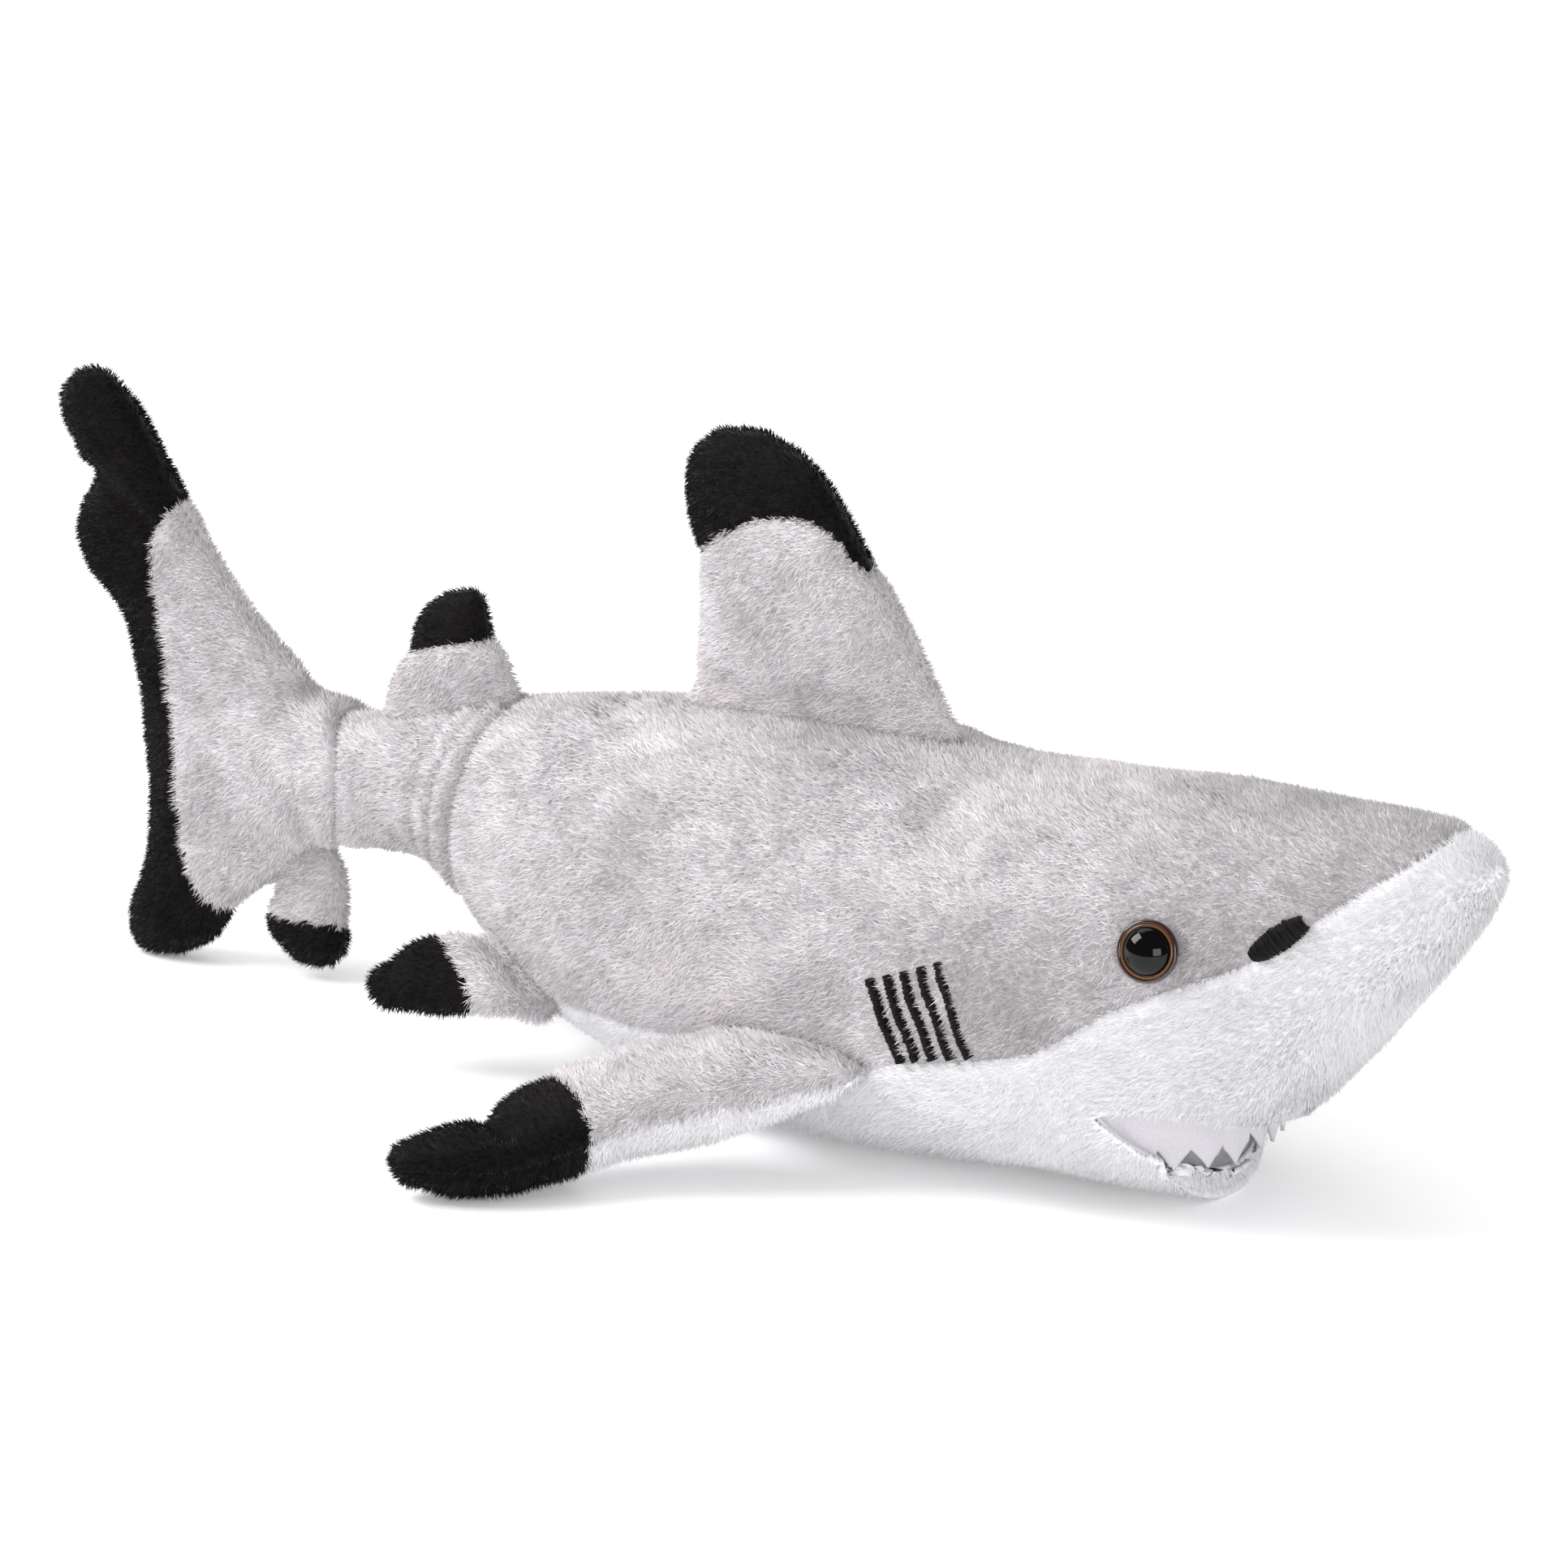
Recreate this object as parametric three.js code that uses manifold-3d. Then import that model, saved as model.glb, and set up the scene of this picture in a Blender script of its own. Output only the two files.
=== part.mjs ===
// Stuffed reef shark with black fin tips, lying on its belly. Millimetres. +X is towards the nose, +Y is the shark's left, +Z is up, z = 0 is the table.
import * as THREE from "three";
import { mergeVertices } from "three/addons/utils/BufferGeometryUtils.js";
import Module from "manifold-3d";

// ---- driving dimensions -------------------------------------------------------------------------------------
const SKIN = 1.6; // short-pile cloth of the body, backing and crushed pile together
const FIN_SKIN = 1.3; // the same cloth where it is pulled tight round the fins
const GAP = 0.3; // clearance between neighbouring pieces
const FILL_GAP = 0.9; // clearance between cloth and stuffing
const EYE_R = 6.2, EYE_X = 115.2, EYE_Z = 64, EYE_SHANK_R = 2.0, EYE_SHANK_L = 11;
const WASHER_R = 6, WASHER_T = 1.2;
const GILL_W = 2.1, GILL_T = 0.9, GILLS = 5;
const TAIL_X = -119, TAIL_YAW = 10, TAIL_R = 14.2; // sewn fold where the tail fin swings, and how far it is turned at rest (deg)
const JAW_X = 103.5, JAW_Z = 25.2, JAW_R = 24.2; // corner of the mouth, and the radius the jaw turns inside
const SHIFT = [9.15, 0, -0.281]; // puts the origin under the centre of the whole toy

// Trunk sections: x, half width, top, bottom, height of the widest point, upper and lower roundness.
const BODY = [
  [-135, 13.6, 68.0, 34.0, 51.0, 2.1, 2.1],
  [-121, 15.0, 66.6, 35.0, 51.0, 2.1, 2.1],
  [-110, 16.2, 68.0, 36.6, 52.0, 2.1, 2.1],
  [-95, 18.8, 71.6, 37.2, 53.0, 2.1, 2.1],
  [-82, 22.2, 74.8, 33.0, 52.5, 2.1, 2.15],
  [-70, 26.0, 77.6, 22.5, 51.0, 2.1, 2.2],
  [-58, 30.0, 80.0, 13.2, 49.0, 2.1, 2.25],
  [-45, 34.0, 82.4, 7.4, 46.5, 2.1, 2.3],
  [-30, 37.6, 84.8, 3.8, 44.0, 2.1, 2.45],
  [-12, 40.8, 87.0, 1.0, 42.0, 2.1, 2.6],
  [0, 42.2, 87.8, 0, 41.2, 2.1, 2.75],
  [14, 43.6, 88.4, 0, 40.4, 2.1, 2.8],
  [35, 44.8, 88.0, 0, 40.0, 2.1, 2.9],
  [60, 45.0, 86.4, 0.6, 41.0, 2.1, 2.7],
  [82, 44.0, 86.8, 2.4, 42.5, 2.15, 2.5],
  [98, 42.2, 88.2, 2.4, 44.5, 2.2, 2.34],
  [107, 40.6, 89.2, 1.3, 46.0, 2.2, 2.3],
  [112, 39.2, 89.6, 1.2, 48.0, 2.2, 2.2],
  [118, 37.4, 89.9, 8.6, 50.0, 2.2, 2.2],
  [124, 35.2, 90.0, 16.4, 52.0, 2.2, 2.35],
  [132, 32.4, 90.2, 20.8, 55.0, 2.2, 2.4],
  [142, 28.6, 90.4, 31.6, 61.5, 2.2, 2.35],
  [152, 23.8, 90.8, 43.6, 68.0, 2.15, 2.3],
  [160, 19.2, 90.6, 53.6, 73.0, 2.1, 2.2],
  [167, 14.0, 88.4, 63.4, 76.8, 2.0, 2.1],
  [171.5, 9.4, 86.2, 70.4, 78.8, 2.0, 2.0],
  [174.5, 4.6, 83.6, 76.4, 80.0, 2.0, 2.0],
];
const NOSE = [175.6, 81.2];
// Height of the sewn line between grey back and white belly, against x.
const SEAM = [
  [-140, -30], [-66, 6], [-60, 12.5], [-50, 17.5], [-36, 20.5], [-10, 22.4], [20, 25], [50, 27.2], [58, 29.6], [68, 32], [79, 34.8],
  [91.6, 39], [100.4, 44.7], [110.6, 51.6], [123, 57.6], [135.3, 63.6], [141, 67.4], [146, 72.2], [152, 77.4], [159.5, 83.4], [165.3, 88.6], [168.5, 92.4], [174, 99], [190, 120],
];
// Fins standing on the back or hanging below: height, rear edge, front edge, half thickness.
const DORSAL = [
  [0.0, -23.0, 44.5, 3.4], [3.5, -22.8, 43.4, 6.4], [9, -22.4, 39.5, 8.2], [20, -22.0, 33.2, 8.6], [31, -21.2, 25.2, 8.2],
  [40, -24.2, 18.6, 7.4], [48.5, -25.0, 12.0, 6.4], [54, -22.8, 5.6, 5.0], [57.6, -18.4, -2.8, 3.0],
];
const DORSAL_TIP = [59.4, -11];
const DORSAL_LINE = [[-60, 26], [-23, 33.5], [-16, 37.5], [-6, 41], [6, 43.4], [13, 43], [20, 38.6], [25, 34.6], [40, 30]];
const SECOND = [
  [0.0, -37.5, 0, 2.6], [3.2, -37, -0.6, 4.6], [8, -34.5, -2.6, 5.6], [13.5, -29.3, -6.4, 5.4], [18.5, -27.8, -7.4, 4.8], [23, -24.6, -8.4, 3.8], [25.2, -21, -10.6, 2.2],
];
const SECOND_TIP = [26, -15.5];
// Fin under the root of the tail: height and place of its front edge, then of its rear edge, half thickness (places measured behind the tail's fold).
const ANAL = [
  [29.6, -23.0, -5.0, 2.6, 19.8], [26, -24.4, -4.2, 4.2, 17.4], [19.5, -25, -3.6, 5.0, 14.4], [13, -24, -3.4, 5.0, 11], [8, -21.6, -3.9, 4.2, 7.6], [4.6, -18.6, -7, 2.6, 4.8],
];
const ANAL_TIP = [3.2, -12.8];
// Tail fin: height, rear edge, front edge (both measured behind the fold), half thickness.
const CAUDAL = [
  [2.2, -61.0, -45.5, 3.4], [6.5, -62.4, -38.5, 5.6], [13, -61.4, -34.6, 6.2], [19, -58.6, -29.0, 6.6], [27, -56.2, -17, 6.8], [36, -56.6, -10, 7.0],
  [54, -58.0, -8, 7.0], [72, -60.4, -12.4, 7.0], [81, -61.8, -21, 6.8], [87, -64.6, -26.8, 6.6], [94, -71.2, -31.8, 6.6], [101, -73.4, -36.2, 6.5],
  [108, -71.6, -40.2, 6.4], [115, -67.8, -44.6, 6.2], [121, -71.4, -47.4, 6.0], [127.3, -75.0, -49.8, 5.6], [133, -76.0, -54.0, 4.6], [137.2, -71.5, -59.6, 2.8],
];
const CAUDAL_LOW = [0.4, -54], CAUDAL_TOP = [138.6, -65.6];
const CAUDAL_LINE = [[-20, 11.6], [-31.6, 14.0], [-36.6, 15.6], [-41.2, 20], [-43.8, 27.6], [-45.2, 37.2], [-46, 56.8], [-47.4, 76.3], [-49.2, 87.8], [-50.6, 97.3], [-50.2, 102.6], [-47, 107.8], [-42.6, 114.8], [-36, 122]];
// Paired fins, given for the right side (y < 0): front edge, rear edge, half thickness above and below. The first row lies on the trunk and gives x and z only.
const PECTORAL = [
  [[52, 27], [9, 27], 3.2, 3.2],
  [[47, -51.0, 24.4], [4.5, -49.8, 26.2], 5.2, 7.5],
  [[37, -57.5, 21.2], [-0.5, -54, 24.4], 6, 11],
  [[24, -68, 18], [-6, -60, 22], 6.5, 13],
  [[11, -76.5, 14], [-11.5, -68, 19.5], 6.5, 12],
  [[4, -84.5, 10], [-15.8, -75, 17.4], 6.4, 10.4],
  [[-4, -94, 7.4], [-18.6, -84.5, 13.2], 6.2, 8.6],
  [[-13, -100.6, 7.2], [-24, -92.5, 10.6], 5.8, 7.6],
  [[-19.5, -103.4, 7.4], [-27.5, -98.5, 8.8], 4.2, 5.2],
];
const PECTORAL_TIP = [-25.2, -103.4, 7.8];
const PELVIC = [
  [[-42, 17], [-64, 31.5], 2.6, 2.6],
  [[-48, -33.4, 16.2], [-69.5, -28.6, 31], 4.2, 4.2],
  [[-57.5, -36.6, 15.4], [-74, -30.0, 29.6], 4.8, 5.2],
  [[-67, -39.6, 14.8], [-77.8, -32.2, 27.4], 4.6, 5.0],
  [[-75.5, -41.8, 14.8], [-81.8, -35.6, 23.4], 3.4, 3.8],
];
const PELVIC_TIP = [-84.0, -41.4, 18.2];
const ROOT_OUT = 3.9; // how far outside the trunk the sewn root of a paired fin turns

// ---- solids -------------------------------------------------------------------------------------------------
const wasm = await Module();
wasm.setup();
const V = (x, y, z) => new THREE.Vector3(x, y, z);

// Smooth curve through table rows (column 0 is the position), without overshoot.
function table(rows) {
  const xs = rows.map((r) => r[0]), n = xs.length, m = rows[0].length;
  const slopes = rows.map(() => new Array(m).fill(0));
  for (let c = 1; c < m; c++) {
    const d = [];
    for (let i = 0; i < n - 1; i++) d.push((rows[i + 1][c] - rows[i][c]) / (xs[i + 1] - xs[i]));
    for (let i = 0; i < n; i++)
      slopes[i][c] = i === 0 ? d[0] : i === n - 1 ? d[n - 2] : d[i - 1] * d[i] <= 0 ? 0 : (2 * d[i - 1] * d[i]) / (d[i - 1] + d[i]);
  }
  return (x) => {
    x = Math.min(Math.max(x, xs[0]), xs[n - 1]);
    let i = 0;
    while (i < n - 2 && x > xs[i + 1]) i++;
    const h = xs[i + 1] - xs[i], t = (x - xs[i]) / h, a = rows[i], b = rows[i + 1];
    return a.map((_, c) => c === 0 ? x :
      (2 * t ** 3 - 3 * t * t + 1) * a[c] + (t ** 3 - 2 * t * t + t) * h * slopes[i][c] +
      (3 * t * t - 2 * t ** 3) * b[c] + (t ** 3 - t * t) * h * slopes[i + 1][c]);
  };
}
const bodyAt = table(BODY), seamAt = table(SEAM);

// Point on the trunk at x and angle a (0 = left side, 90 deg = top), sunk by off.
function bodyPoint(x, a, off = 0) {
  let [, w, zt, zb, zw, nt, nb] = bodyAt(x);
  const c = Math.cos(a), s = Math.sin(a), n = s >= 0 ? nt : nb;
  const k = (h) => Math.max(h - off, h * 0.25);
  const yy = k(w) * Math.sign(c) * Math.abs(c) ** (2 / n);
  const zz = zw + (s >= 0 ? k(zt - zw) : -k(zw - zb)) * Math.abs(s) ** (2 / n);
  return V(x, yy, zz);
}

function toManifold(pos, tri) {
  const g = new THREE.BufferGeometry().setAttribute("position", new THREE.BufferAttribute(new Float32Array(pos), 3)).setIndex(tri);
  const m = mergeVertices(g, 1e-4);
  const made = new wasm.Manifold(new wasm.Mesh({ numProp: 3, vertProperties: m.attributes.position.array, triVerts: new Uint32Array(m.index.array) }));
  if (made.volume() < 0) throw new Error("a solid is inside out");
  return made;
}
// Closes a stack of rings; a pole is one point at an end, otherwise the end is fanned about the ring's middle.
function loft(rings, poleA, poleB) {
  const pos = [], tri = [], n = rings[0].length;
  rings.forEach((r) => r.forEach((p) => pos.push(p.x, p.y, p.z)));
  for (let i = 0; i < rings.length - 1; i++)
    for (let j = 0; j < n; j++) {
      const a = i * n + j, b = i * n + ((j + 1) % n), c = a + n, d = b + n;
      tri.push(a, b, d, a, d, c);
    }
  const end = (ring, base, pole, flip) => {
    const c = pole || ring.reduce((s, p) => s.add(p), V(0, 0, 0)).divideScalar(n);
    const k = pos.length / 3;
    pos.push(c.x, c.y, c.z);
    for (let j = 0; j < n; j++) flip ? tri.push(k, base + ((j + 1) % n), base + j) : tri.push(k, base + j, base + ((j + 1) % n));
  };
  end(rings[0], 0, poleA, true);
  end(rings[rings.length - 1], (rings.length - 1) * n, poleB, false);
  let vol = 0;
  for (let i = 0; i < tri.length; i += 3) {
    const [a, b, c] = [0, 1, 2].map((q) => V(...pos.slice(3 * tri[i + q], 3 * tri[i + q] + 3)));
    vol += a.dot(b.cross(c));
  }
  if (vol < 0) for (let i = 0; i < tri.length; i += 3) [tri[i + 1], tri[i + 2]] = [tri[i + 2], tri[i + 1]];
  return toManifold(pos, tri);
}
// three.js geometry as a solid.
function solid(geometry, matrix) {
  let g = geometry.index ? geometry.toNonIndexed() : geometry.clone();
  g.deleteAttribute("normal");
  g.deleteAttribute("uv");
  if (matrix) g.applyMatrix4(matrix);
  g = mergeVertices(g, 1e-4);
  return toManifold(g.attributes.position.array, [...g.index.array]);
}
// Prism through all y over an outline in x and z.
function prismY(points, y0 = -200, y1 = 200) {
  const s = new THREE.Shape(points.map(([x, z]) => new THREE.Vector2(x, z)));
  const g = new THREE.ExtrudeGeometry(s, { depth: y1 - y0, bevelEnabled: false });
  return solid(g, new THREE.Matrix4().makeRotationX(Math.PI / 2).setPosition(0, y1, 0));
}
const boxOf = (a, b) => solid(new THREE.BoxGeometry(b[0] - a[0], b[1] - a[1], b[2] - a[2]),
  new THREE.Matrix4().makeTranslation((a[0] + b[0]) / 2, (a[1] + b[1]) / 2, (a[2] + b[2]) / 2));
function cylinder(r, h, centre, dir, seg = 28) {
  const q = new THREE.Quaternion().setFromUnitVectors(V(0, 1, 0), dir.clone().normalize());
  return solid(new THREE.CylinderGeometry(r, r, h, seg), new THREE.Matrix4().compose(centre, q, V(1, 1, 1)));
}

// Trunk solid sunk by off.
const TRUNK_X = [-134, -121, -108, -94, -81, -68, -55, -42, -24, 0, 34, 62, 84, 98, 107, 113.5, 120, 130, 142, 153, 162, 169, 174];
function trunk(off, seg) {
  const xs = TRUNK_X.filter((x) => x < 174 - off * 2.4 || off === 0);
  const rings = xs.map((x) => Array.from({ length: seg }, (_, j) => bodyPoint(x, (2 * Math.PI * j) / seg, off)));
  rings[0].forEach((p) => (p.x += off));
  return loft(rings, null, V(NOSE[0] - off, 0, NOSE[1]));
}
// Lens-shaped fin between a front and a rear edge; up is the thickness direction.
function lens(stations, poleA, poleB, seg = 12) {
  const rings = stations.map(([f, r, h, up, hd = h, blunt = 0.85]) => Array.from({ length: seg }, (_, j) => {
    const a = (2 * Math.PI * j) / seg, c = Math.cos(a), s = Math.sin(a);
    const mid = f.clone().add(r).multiplyScalar(0.5), half = f.clone().sub(r).multiplyScalar(0.5);
    return mid.addScaledVector(half, c).addScaledVector(up, s > 0 ? h * s ** 0.85 : -hd * (-s) ** blunt);
  }));
  return loft(rings, poleA, poleB);
}
// Fin with its chord in the plane y = 0; place(h, x) gives the point at height h.
function bladeFin(rows, tip, off, place, seg = 12, low = null) {
  const up = V(0, 1, 0);
  const st = rows.map(([h, r, f, t, hr = h]) => [place(h, f - off * 1.5), place(hr, r + off * 1.5), Math.max(t - off, 0.5), up]);
  if (off && !low) st[0][0].lerp(st[1][0], 0.45), st[0][1].lerp(st[1][1], 0.45);
  const poleB = place(tip[0], tip[1]);
  if (low) return lens(off ? st.slice(1, -1) : st, off ? null : place(low[0] + off, low[1]), off ? null : poleB, seg);
  return lens(off ? st.slice(0, -1) : st, null, off ? null : poleB, seg);
}
// Paired fin. The thickness direction comes from chord and span.
function onTrunk(x, z, side) {
  let lo = -Math.PI / 2, hi = Math.PI / 2;
  for (let i = 0; i < 40; i++) { const m = (lo + hi) / 2; bodyPoint(x, m).z < z ? (lo = m) : (hi = m); }
  const e = 0.03, p = bodyPoint(x, lo);
  const n = bodyPoint(x, lo + e).sub(bodyPoint(x, lo - e)).cross(bodyPoint(x + 1, lo).sub(bodyPoint(x - 1, lo))).normalize();
  if (n.y < 0) n.negate();
  if (side < 0) { p.y = -p.y; n.y = -n.y; }
  return { p, n };
}
function rooted(rows) {
  const at = ([x, z]) => { const { p, n } = onTrunk(x, z, -1); return p.addScaledVector(n, ROOT_OUT).toArray(); };
  return rows.map((r, i) => (i ? r : [at(r[0]), at(r[1]), r[2], r[3]]));
}
function pairedFin(rows, tip, off, seg = 10) {
  const st = rows.map(([f, r, t, td], i) => {
    const F = V(...f), R = V(...r);
    const a = rows[Math.max(i - 1, 0)], b = rows[Math.min(i + 1, rows.length - 1)];
    const span = V(...b[0]).add(V(...b[1])).sub(V(...a[0])).sub(V(...a[1]));
    const chord = F.clone().sub(R), up = chord.clone().cross(span).normalize();
    if (up.z < 0) up.negate();
    const k = (off * 1.5) / chord.length();
    return [F.clone().lerp(R, k), R.clone().lerp(F, k), Math.max(t - off, 0.5), up, Math.max(td - off, 0.5), td > t + 1 ? 0.6 : 0.85];
  });
  if (off) [0, 1].forEach((q) => st[0][q].lerp(st[1][q], 0.35));
  return lens(off ? st.slice(0, -1) : st, null, off ? null : V(...tip), seg);
}
function mirror(m) {
  const g = new THREE.BufferGeometry();
  const { pos, tri } = raw(m);
  for (let i = 1; i < pos.length; i += 3) pos[i] = -pos[i];
  for (let i = 0; i < tri.length; i += 3) [tri[i + 1], tri[i + 2]] = [tri[i + 2], tri[i + 1]];
  return toManifold(pos, tri);
}
function raw(m) {
  const mesh = m.getMesh(), n = mesh.numProp, pos = [];
  for (let i = 0; i < mesh.numVert; i++) pos.push(...mesh.vertProperties.subarray(i * n, i * n + 3));
  return { pos, tri: [...mesh.triVerts] };
}
function moved(m, matrix) {
  const { pos, tri } = raw(m), v = V(0, 0, 0);
  for (let i = 0; i < pos.length; i += 3) {
    v.set(pos[i], pos[i + 1], pos[i + 2]).applyMatrix4(matrix);
    pos[i] = v.x; pos[i + 1] = v.y; pos[i + 2] = v.z;
  }
  return toManifold(pos, tri);
}
// The biggest body of a cut, so that slivers left by a cut are dropped.
function main(m) {
  return m.decompose().sort((a, b) => b.volume() - a.volume())[0];
}

const COLOURS = {
  grey_plush: 0xc6bdc1, white_plush: 0xe6e5ea, black_plush: 0x1a181a, felt: 0xd6d4da, stuffing: 0xf3f1ec,
  black_thread: 0x161416, eye_black: 0x070606, eye_amber: 0x8a5626, clear_nylon: 0xe8e8e4,
};
const part = new THREE.Group();
part.name = "plush_reef_shark";
function add(name, slot, m) {
  const big = main(m);
  const { pos, tri } = raw(big);
  const g = new THREE.BufferGeometry().setAttribute("position", new THREE.BufferAttribute(new Float32Array(pos), 3)).setIndex(tri);
  g.computeVertexNormals();
  const mesh = new THREE.Mesh(g, new THREE.MeshStandardMaterial({ color: COLOURS[slot], roughness: 0.9 }));
  mesh.name = name;
  part.add(mesh);
}

// ---- trunk --------------------------------------------------------------------------------------------------
const SEG = 22;
const outer = trunk(0, SEG), inner = trunk(SKIN, SEG), core = trunk(SKIN + FILL_GAP + 0.3, 16);
const seamPts = [];
for (let x = -66; x <= 172; x += 9) seamPts.push([x, seamAt(x)[1]]);
const above = prismY([...seamPts.map(([x, z]) => [x, z + GAP / 2]), [200, 150], [200, 220], [-160, 220], [-160, -60], [-66, -60]]);
const below = prismY([...seamPts.map(([x, z]) => [x, z - GAP / 2]), [200, 146], [200, -80], [-66.3, -80]].reverse());
const tailAxis = V(TAIL_X, 0, 50);
// Room that the swinging tail needs behind the trunk.
const tailRoom = boxOf([-200, -60, 0], [TAIL_X + 10.5, 60, 120]).add(cylinder(TAIL_R + 0.7, 120, tailAxis, V(0, 0, 1), 32));
// Mouth: a wedge between the lips, and the jaw that turns about the corners of the mouth.
const MOUTH = [[JAW_X, JAW_Z + 0.2], [107, 27.4], [113.6, 27.6], [119, 26.4], [123, 23.8], [125.6, 20.9], [150, 12], [150, -10], [116.4, -10], [116.4, 8.4], [113.6, 11.6], [109.6, 16.4], [105.8, 21.4]];
const mouthCut = prismY(MOUTH.slice().reverse());
const jawCylinder = cylinder(JAW_R, 200, V(JAW_X, 0, JAW_Z), V(0, 1, 0), 48);
const jawFront = prismY([[JAW_X, JAW_Z + 0.1], [JAW_X, JAW_Z - 45], [140, JAW_Z - 45], [140, JAW_Z + 0.1]].reverse());
const jawRear = prismY([[JAW_X + 1, JAW_Z], [JAW_X - 26, 7.4], [JAW_X - 26, -20], [JAW_X + 1, -20]].reverse());
// The jaw is the part below the wedge: everything in front of the corners, and the part behind them that lies inside the turning radius.
const jawTurn = (d) => cylinder(JAW_R - d, 200, V(JAW_X, 0, JAW_Z), V(0, 1, 0), 44);
const jawRegion = jawFront.add(jawTurn(0).intersect(jawRear)).subtract(mouthCut);
const jawRoom = prismY([[JAW_X - 0.3, JAW_Z + 0.4], [JAW_X - 0.3, 4], [JAW_X - 8, 4], [JAW_X - 8, -20], [140, -20], [140, JAW_Z + 0.4]].reverse())
  .add(jawTurn(-0.5).intersect(prismY([[JAW_X + 1, JAW_Z + 0.6], [JAW_X - 28, 14.2], [JAW_X - 28, -20], [JAW_X + 1, -20]].reverse())));

const eyeDir = (side) => {
  // Outward direction of the cloth at the eye.
  const at = eyeAngle(side), p = bodyPoint(EYE_X, at), e = 0.02;
  const a = bodyPoint(EYE_X, at + e).sub(bodyPoint(EYE_X, at - e)), b = bodyPoint(EYE_X + 1, at).sub(bodyPoint(EYE_X - 1, at));
  const n = a.cross(b).normalize();
  if (n.dot(V(0, side, 0)) < 0) n.negate();
  return { p, n };
};
function eyeAngle(side) {
  let lo = 0, hi = Math.PI / 2;
  for (let i = 0; i < 40; i++) { const m = (lo + hi) / 2; bodyPoint(EYE_X, m).z < EYE_Z ? (lo = m) : (hi = m); }
  return side > 0 ? lo : Math.PI - lo;
}
let eyeHoles = null, washerRooms = null;
for (const side of [-1, 1]) {
  const { p, n } = eyeDir(side);
  const hole = cylinder(EYE_SHANK_R + GAP, 30, p.clone().addScaledVector(n, -8), n, 20);
  const room = cylinder(WASHER_R + 0.6, 5.2, p.clone().addScaledVector(n, -SKIN - 2.4), n, 20);
  eyeHoles = eyeHoles ? eyeHoles.add(hole) : hole;
  washerRooms = washerRooms ? washerRooms.add(room) : room;
}

const trunkSkin = outer.subtract(inner).subtract(tailRoom).subtract(jawRoom).subtract(mouthCut);
add("body_back_panel", "grey_plush", trunkSkin.intersect(above).subtract(eyeHoles));
add("body_belly_panel", "white_plush", trunkSkin.intersect(below));
const jawFillRoom = prismY([[JAW_X - 2.5, JAW_Z + 5], [150, 34.5], [150, -10], [JAW_X - 8, -10], [JAW_X - 8, 12]].reverse())
  .add(jawTurn(-1.4).intersect(prismY([[JAW_X + 30, 34.5], [JAW_X - 2, 32.5], [JAW_X - 28, 18.0], [JAW_X - 28, -20], [JAW_X + 30, -20]].reverse())));
add("body_stuffing", "stuffing", core.subtract(tailRoom).subtract(boxOf([-200, -60, 0], [TAIL_X + 13, 60, 120])).subtract(jawFillRoom).subtract(eyeHoles).subtract(washerRooms));

// ---- jaw and mouth ------------------------------------------------------------------------------------------
const lipLow = (d) => prismY([[JAW_X - 28, JAW_Z - 9.0 - d], [JAW_X - 0.6, JAW_Z - 3.4 - d], [105.8 - d, 20.8 - d], [109.6 - d, 15.8 - d], [113.6 - d, 11.0 - d], [150, 8 - d], [150, 60], [JAW_X - 28, 60]].reverse());
const jawSpace = (d) => jawFront.add(jawTurn(d).intersect(jawRear));
const jawHollow = prismY([[JAW_X, JAW_Z + 30], [JAW_X, -60], [150, -60], [150, JAW_Z + 30]].reverse())
  .add(jawTurn(SKIN).intersect(prismY([[JAW_X + 1, JAW_Z + 30], [JAW_X - 40, JAW_Z + 30], [JAW_X - 40, -60], [JAW_X + 1, -60]])));
add("jaw_cover", "white_plush", outer.intersect(jawRegion).subtract(inner.intersect(jawHollow)));
add("jaw_lining", "felt", trunk(SKIN + GAP, SEG).intersect(jawSpace(SKIN + GAP)).subtract(lipLow(0.2)).intersect(lipLow(1.5)));
add("jaw_stuffing", "stuffing", trunk(SKIN + FILL_GAP, SEG).intersect(jawSpace(SKIN + 0.8)).subtract(lipLow(2.0)));
// Felt roof of the mouth.
add("mouth_lining", "felt", trunk(SKIN + 0.5, SEG).intersect(prismY([[JAW_X - 1, JAW_Z + 1.4], [106.6, 28.6], [113.6, 29.4], [119, 28.8], [122, 27.4], [122, 29], [119, 30.4], [113.6, 30.8], [106, 30.0], [JAW_X - 1, 27]].reverse())));
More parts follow.
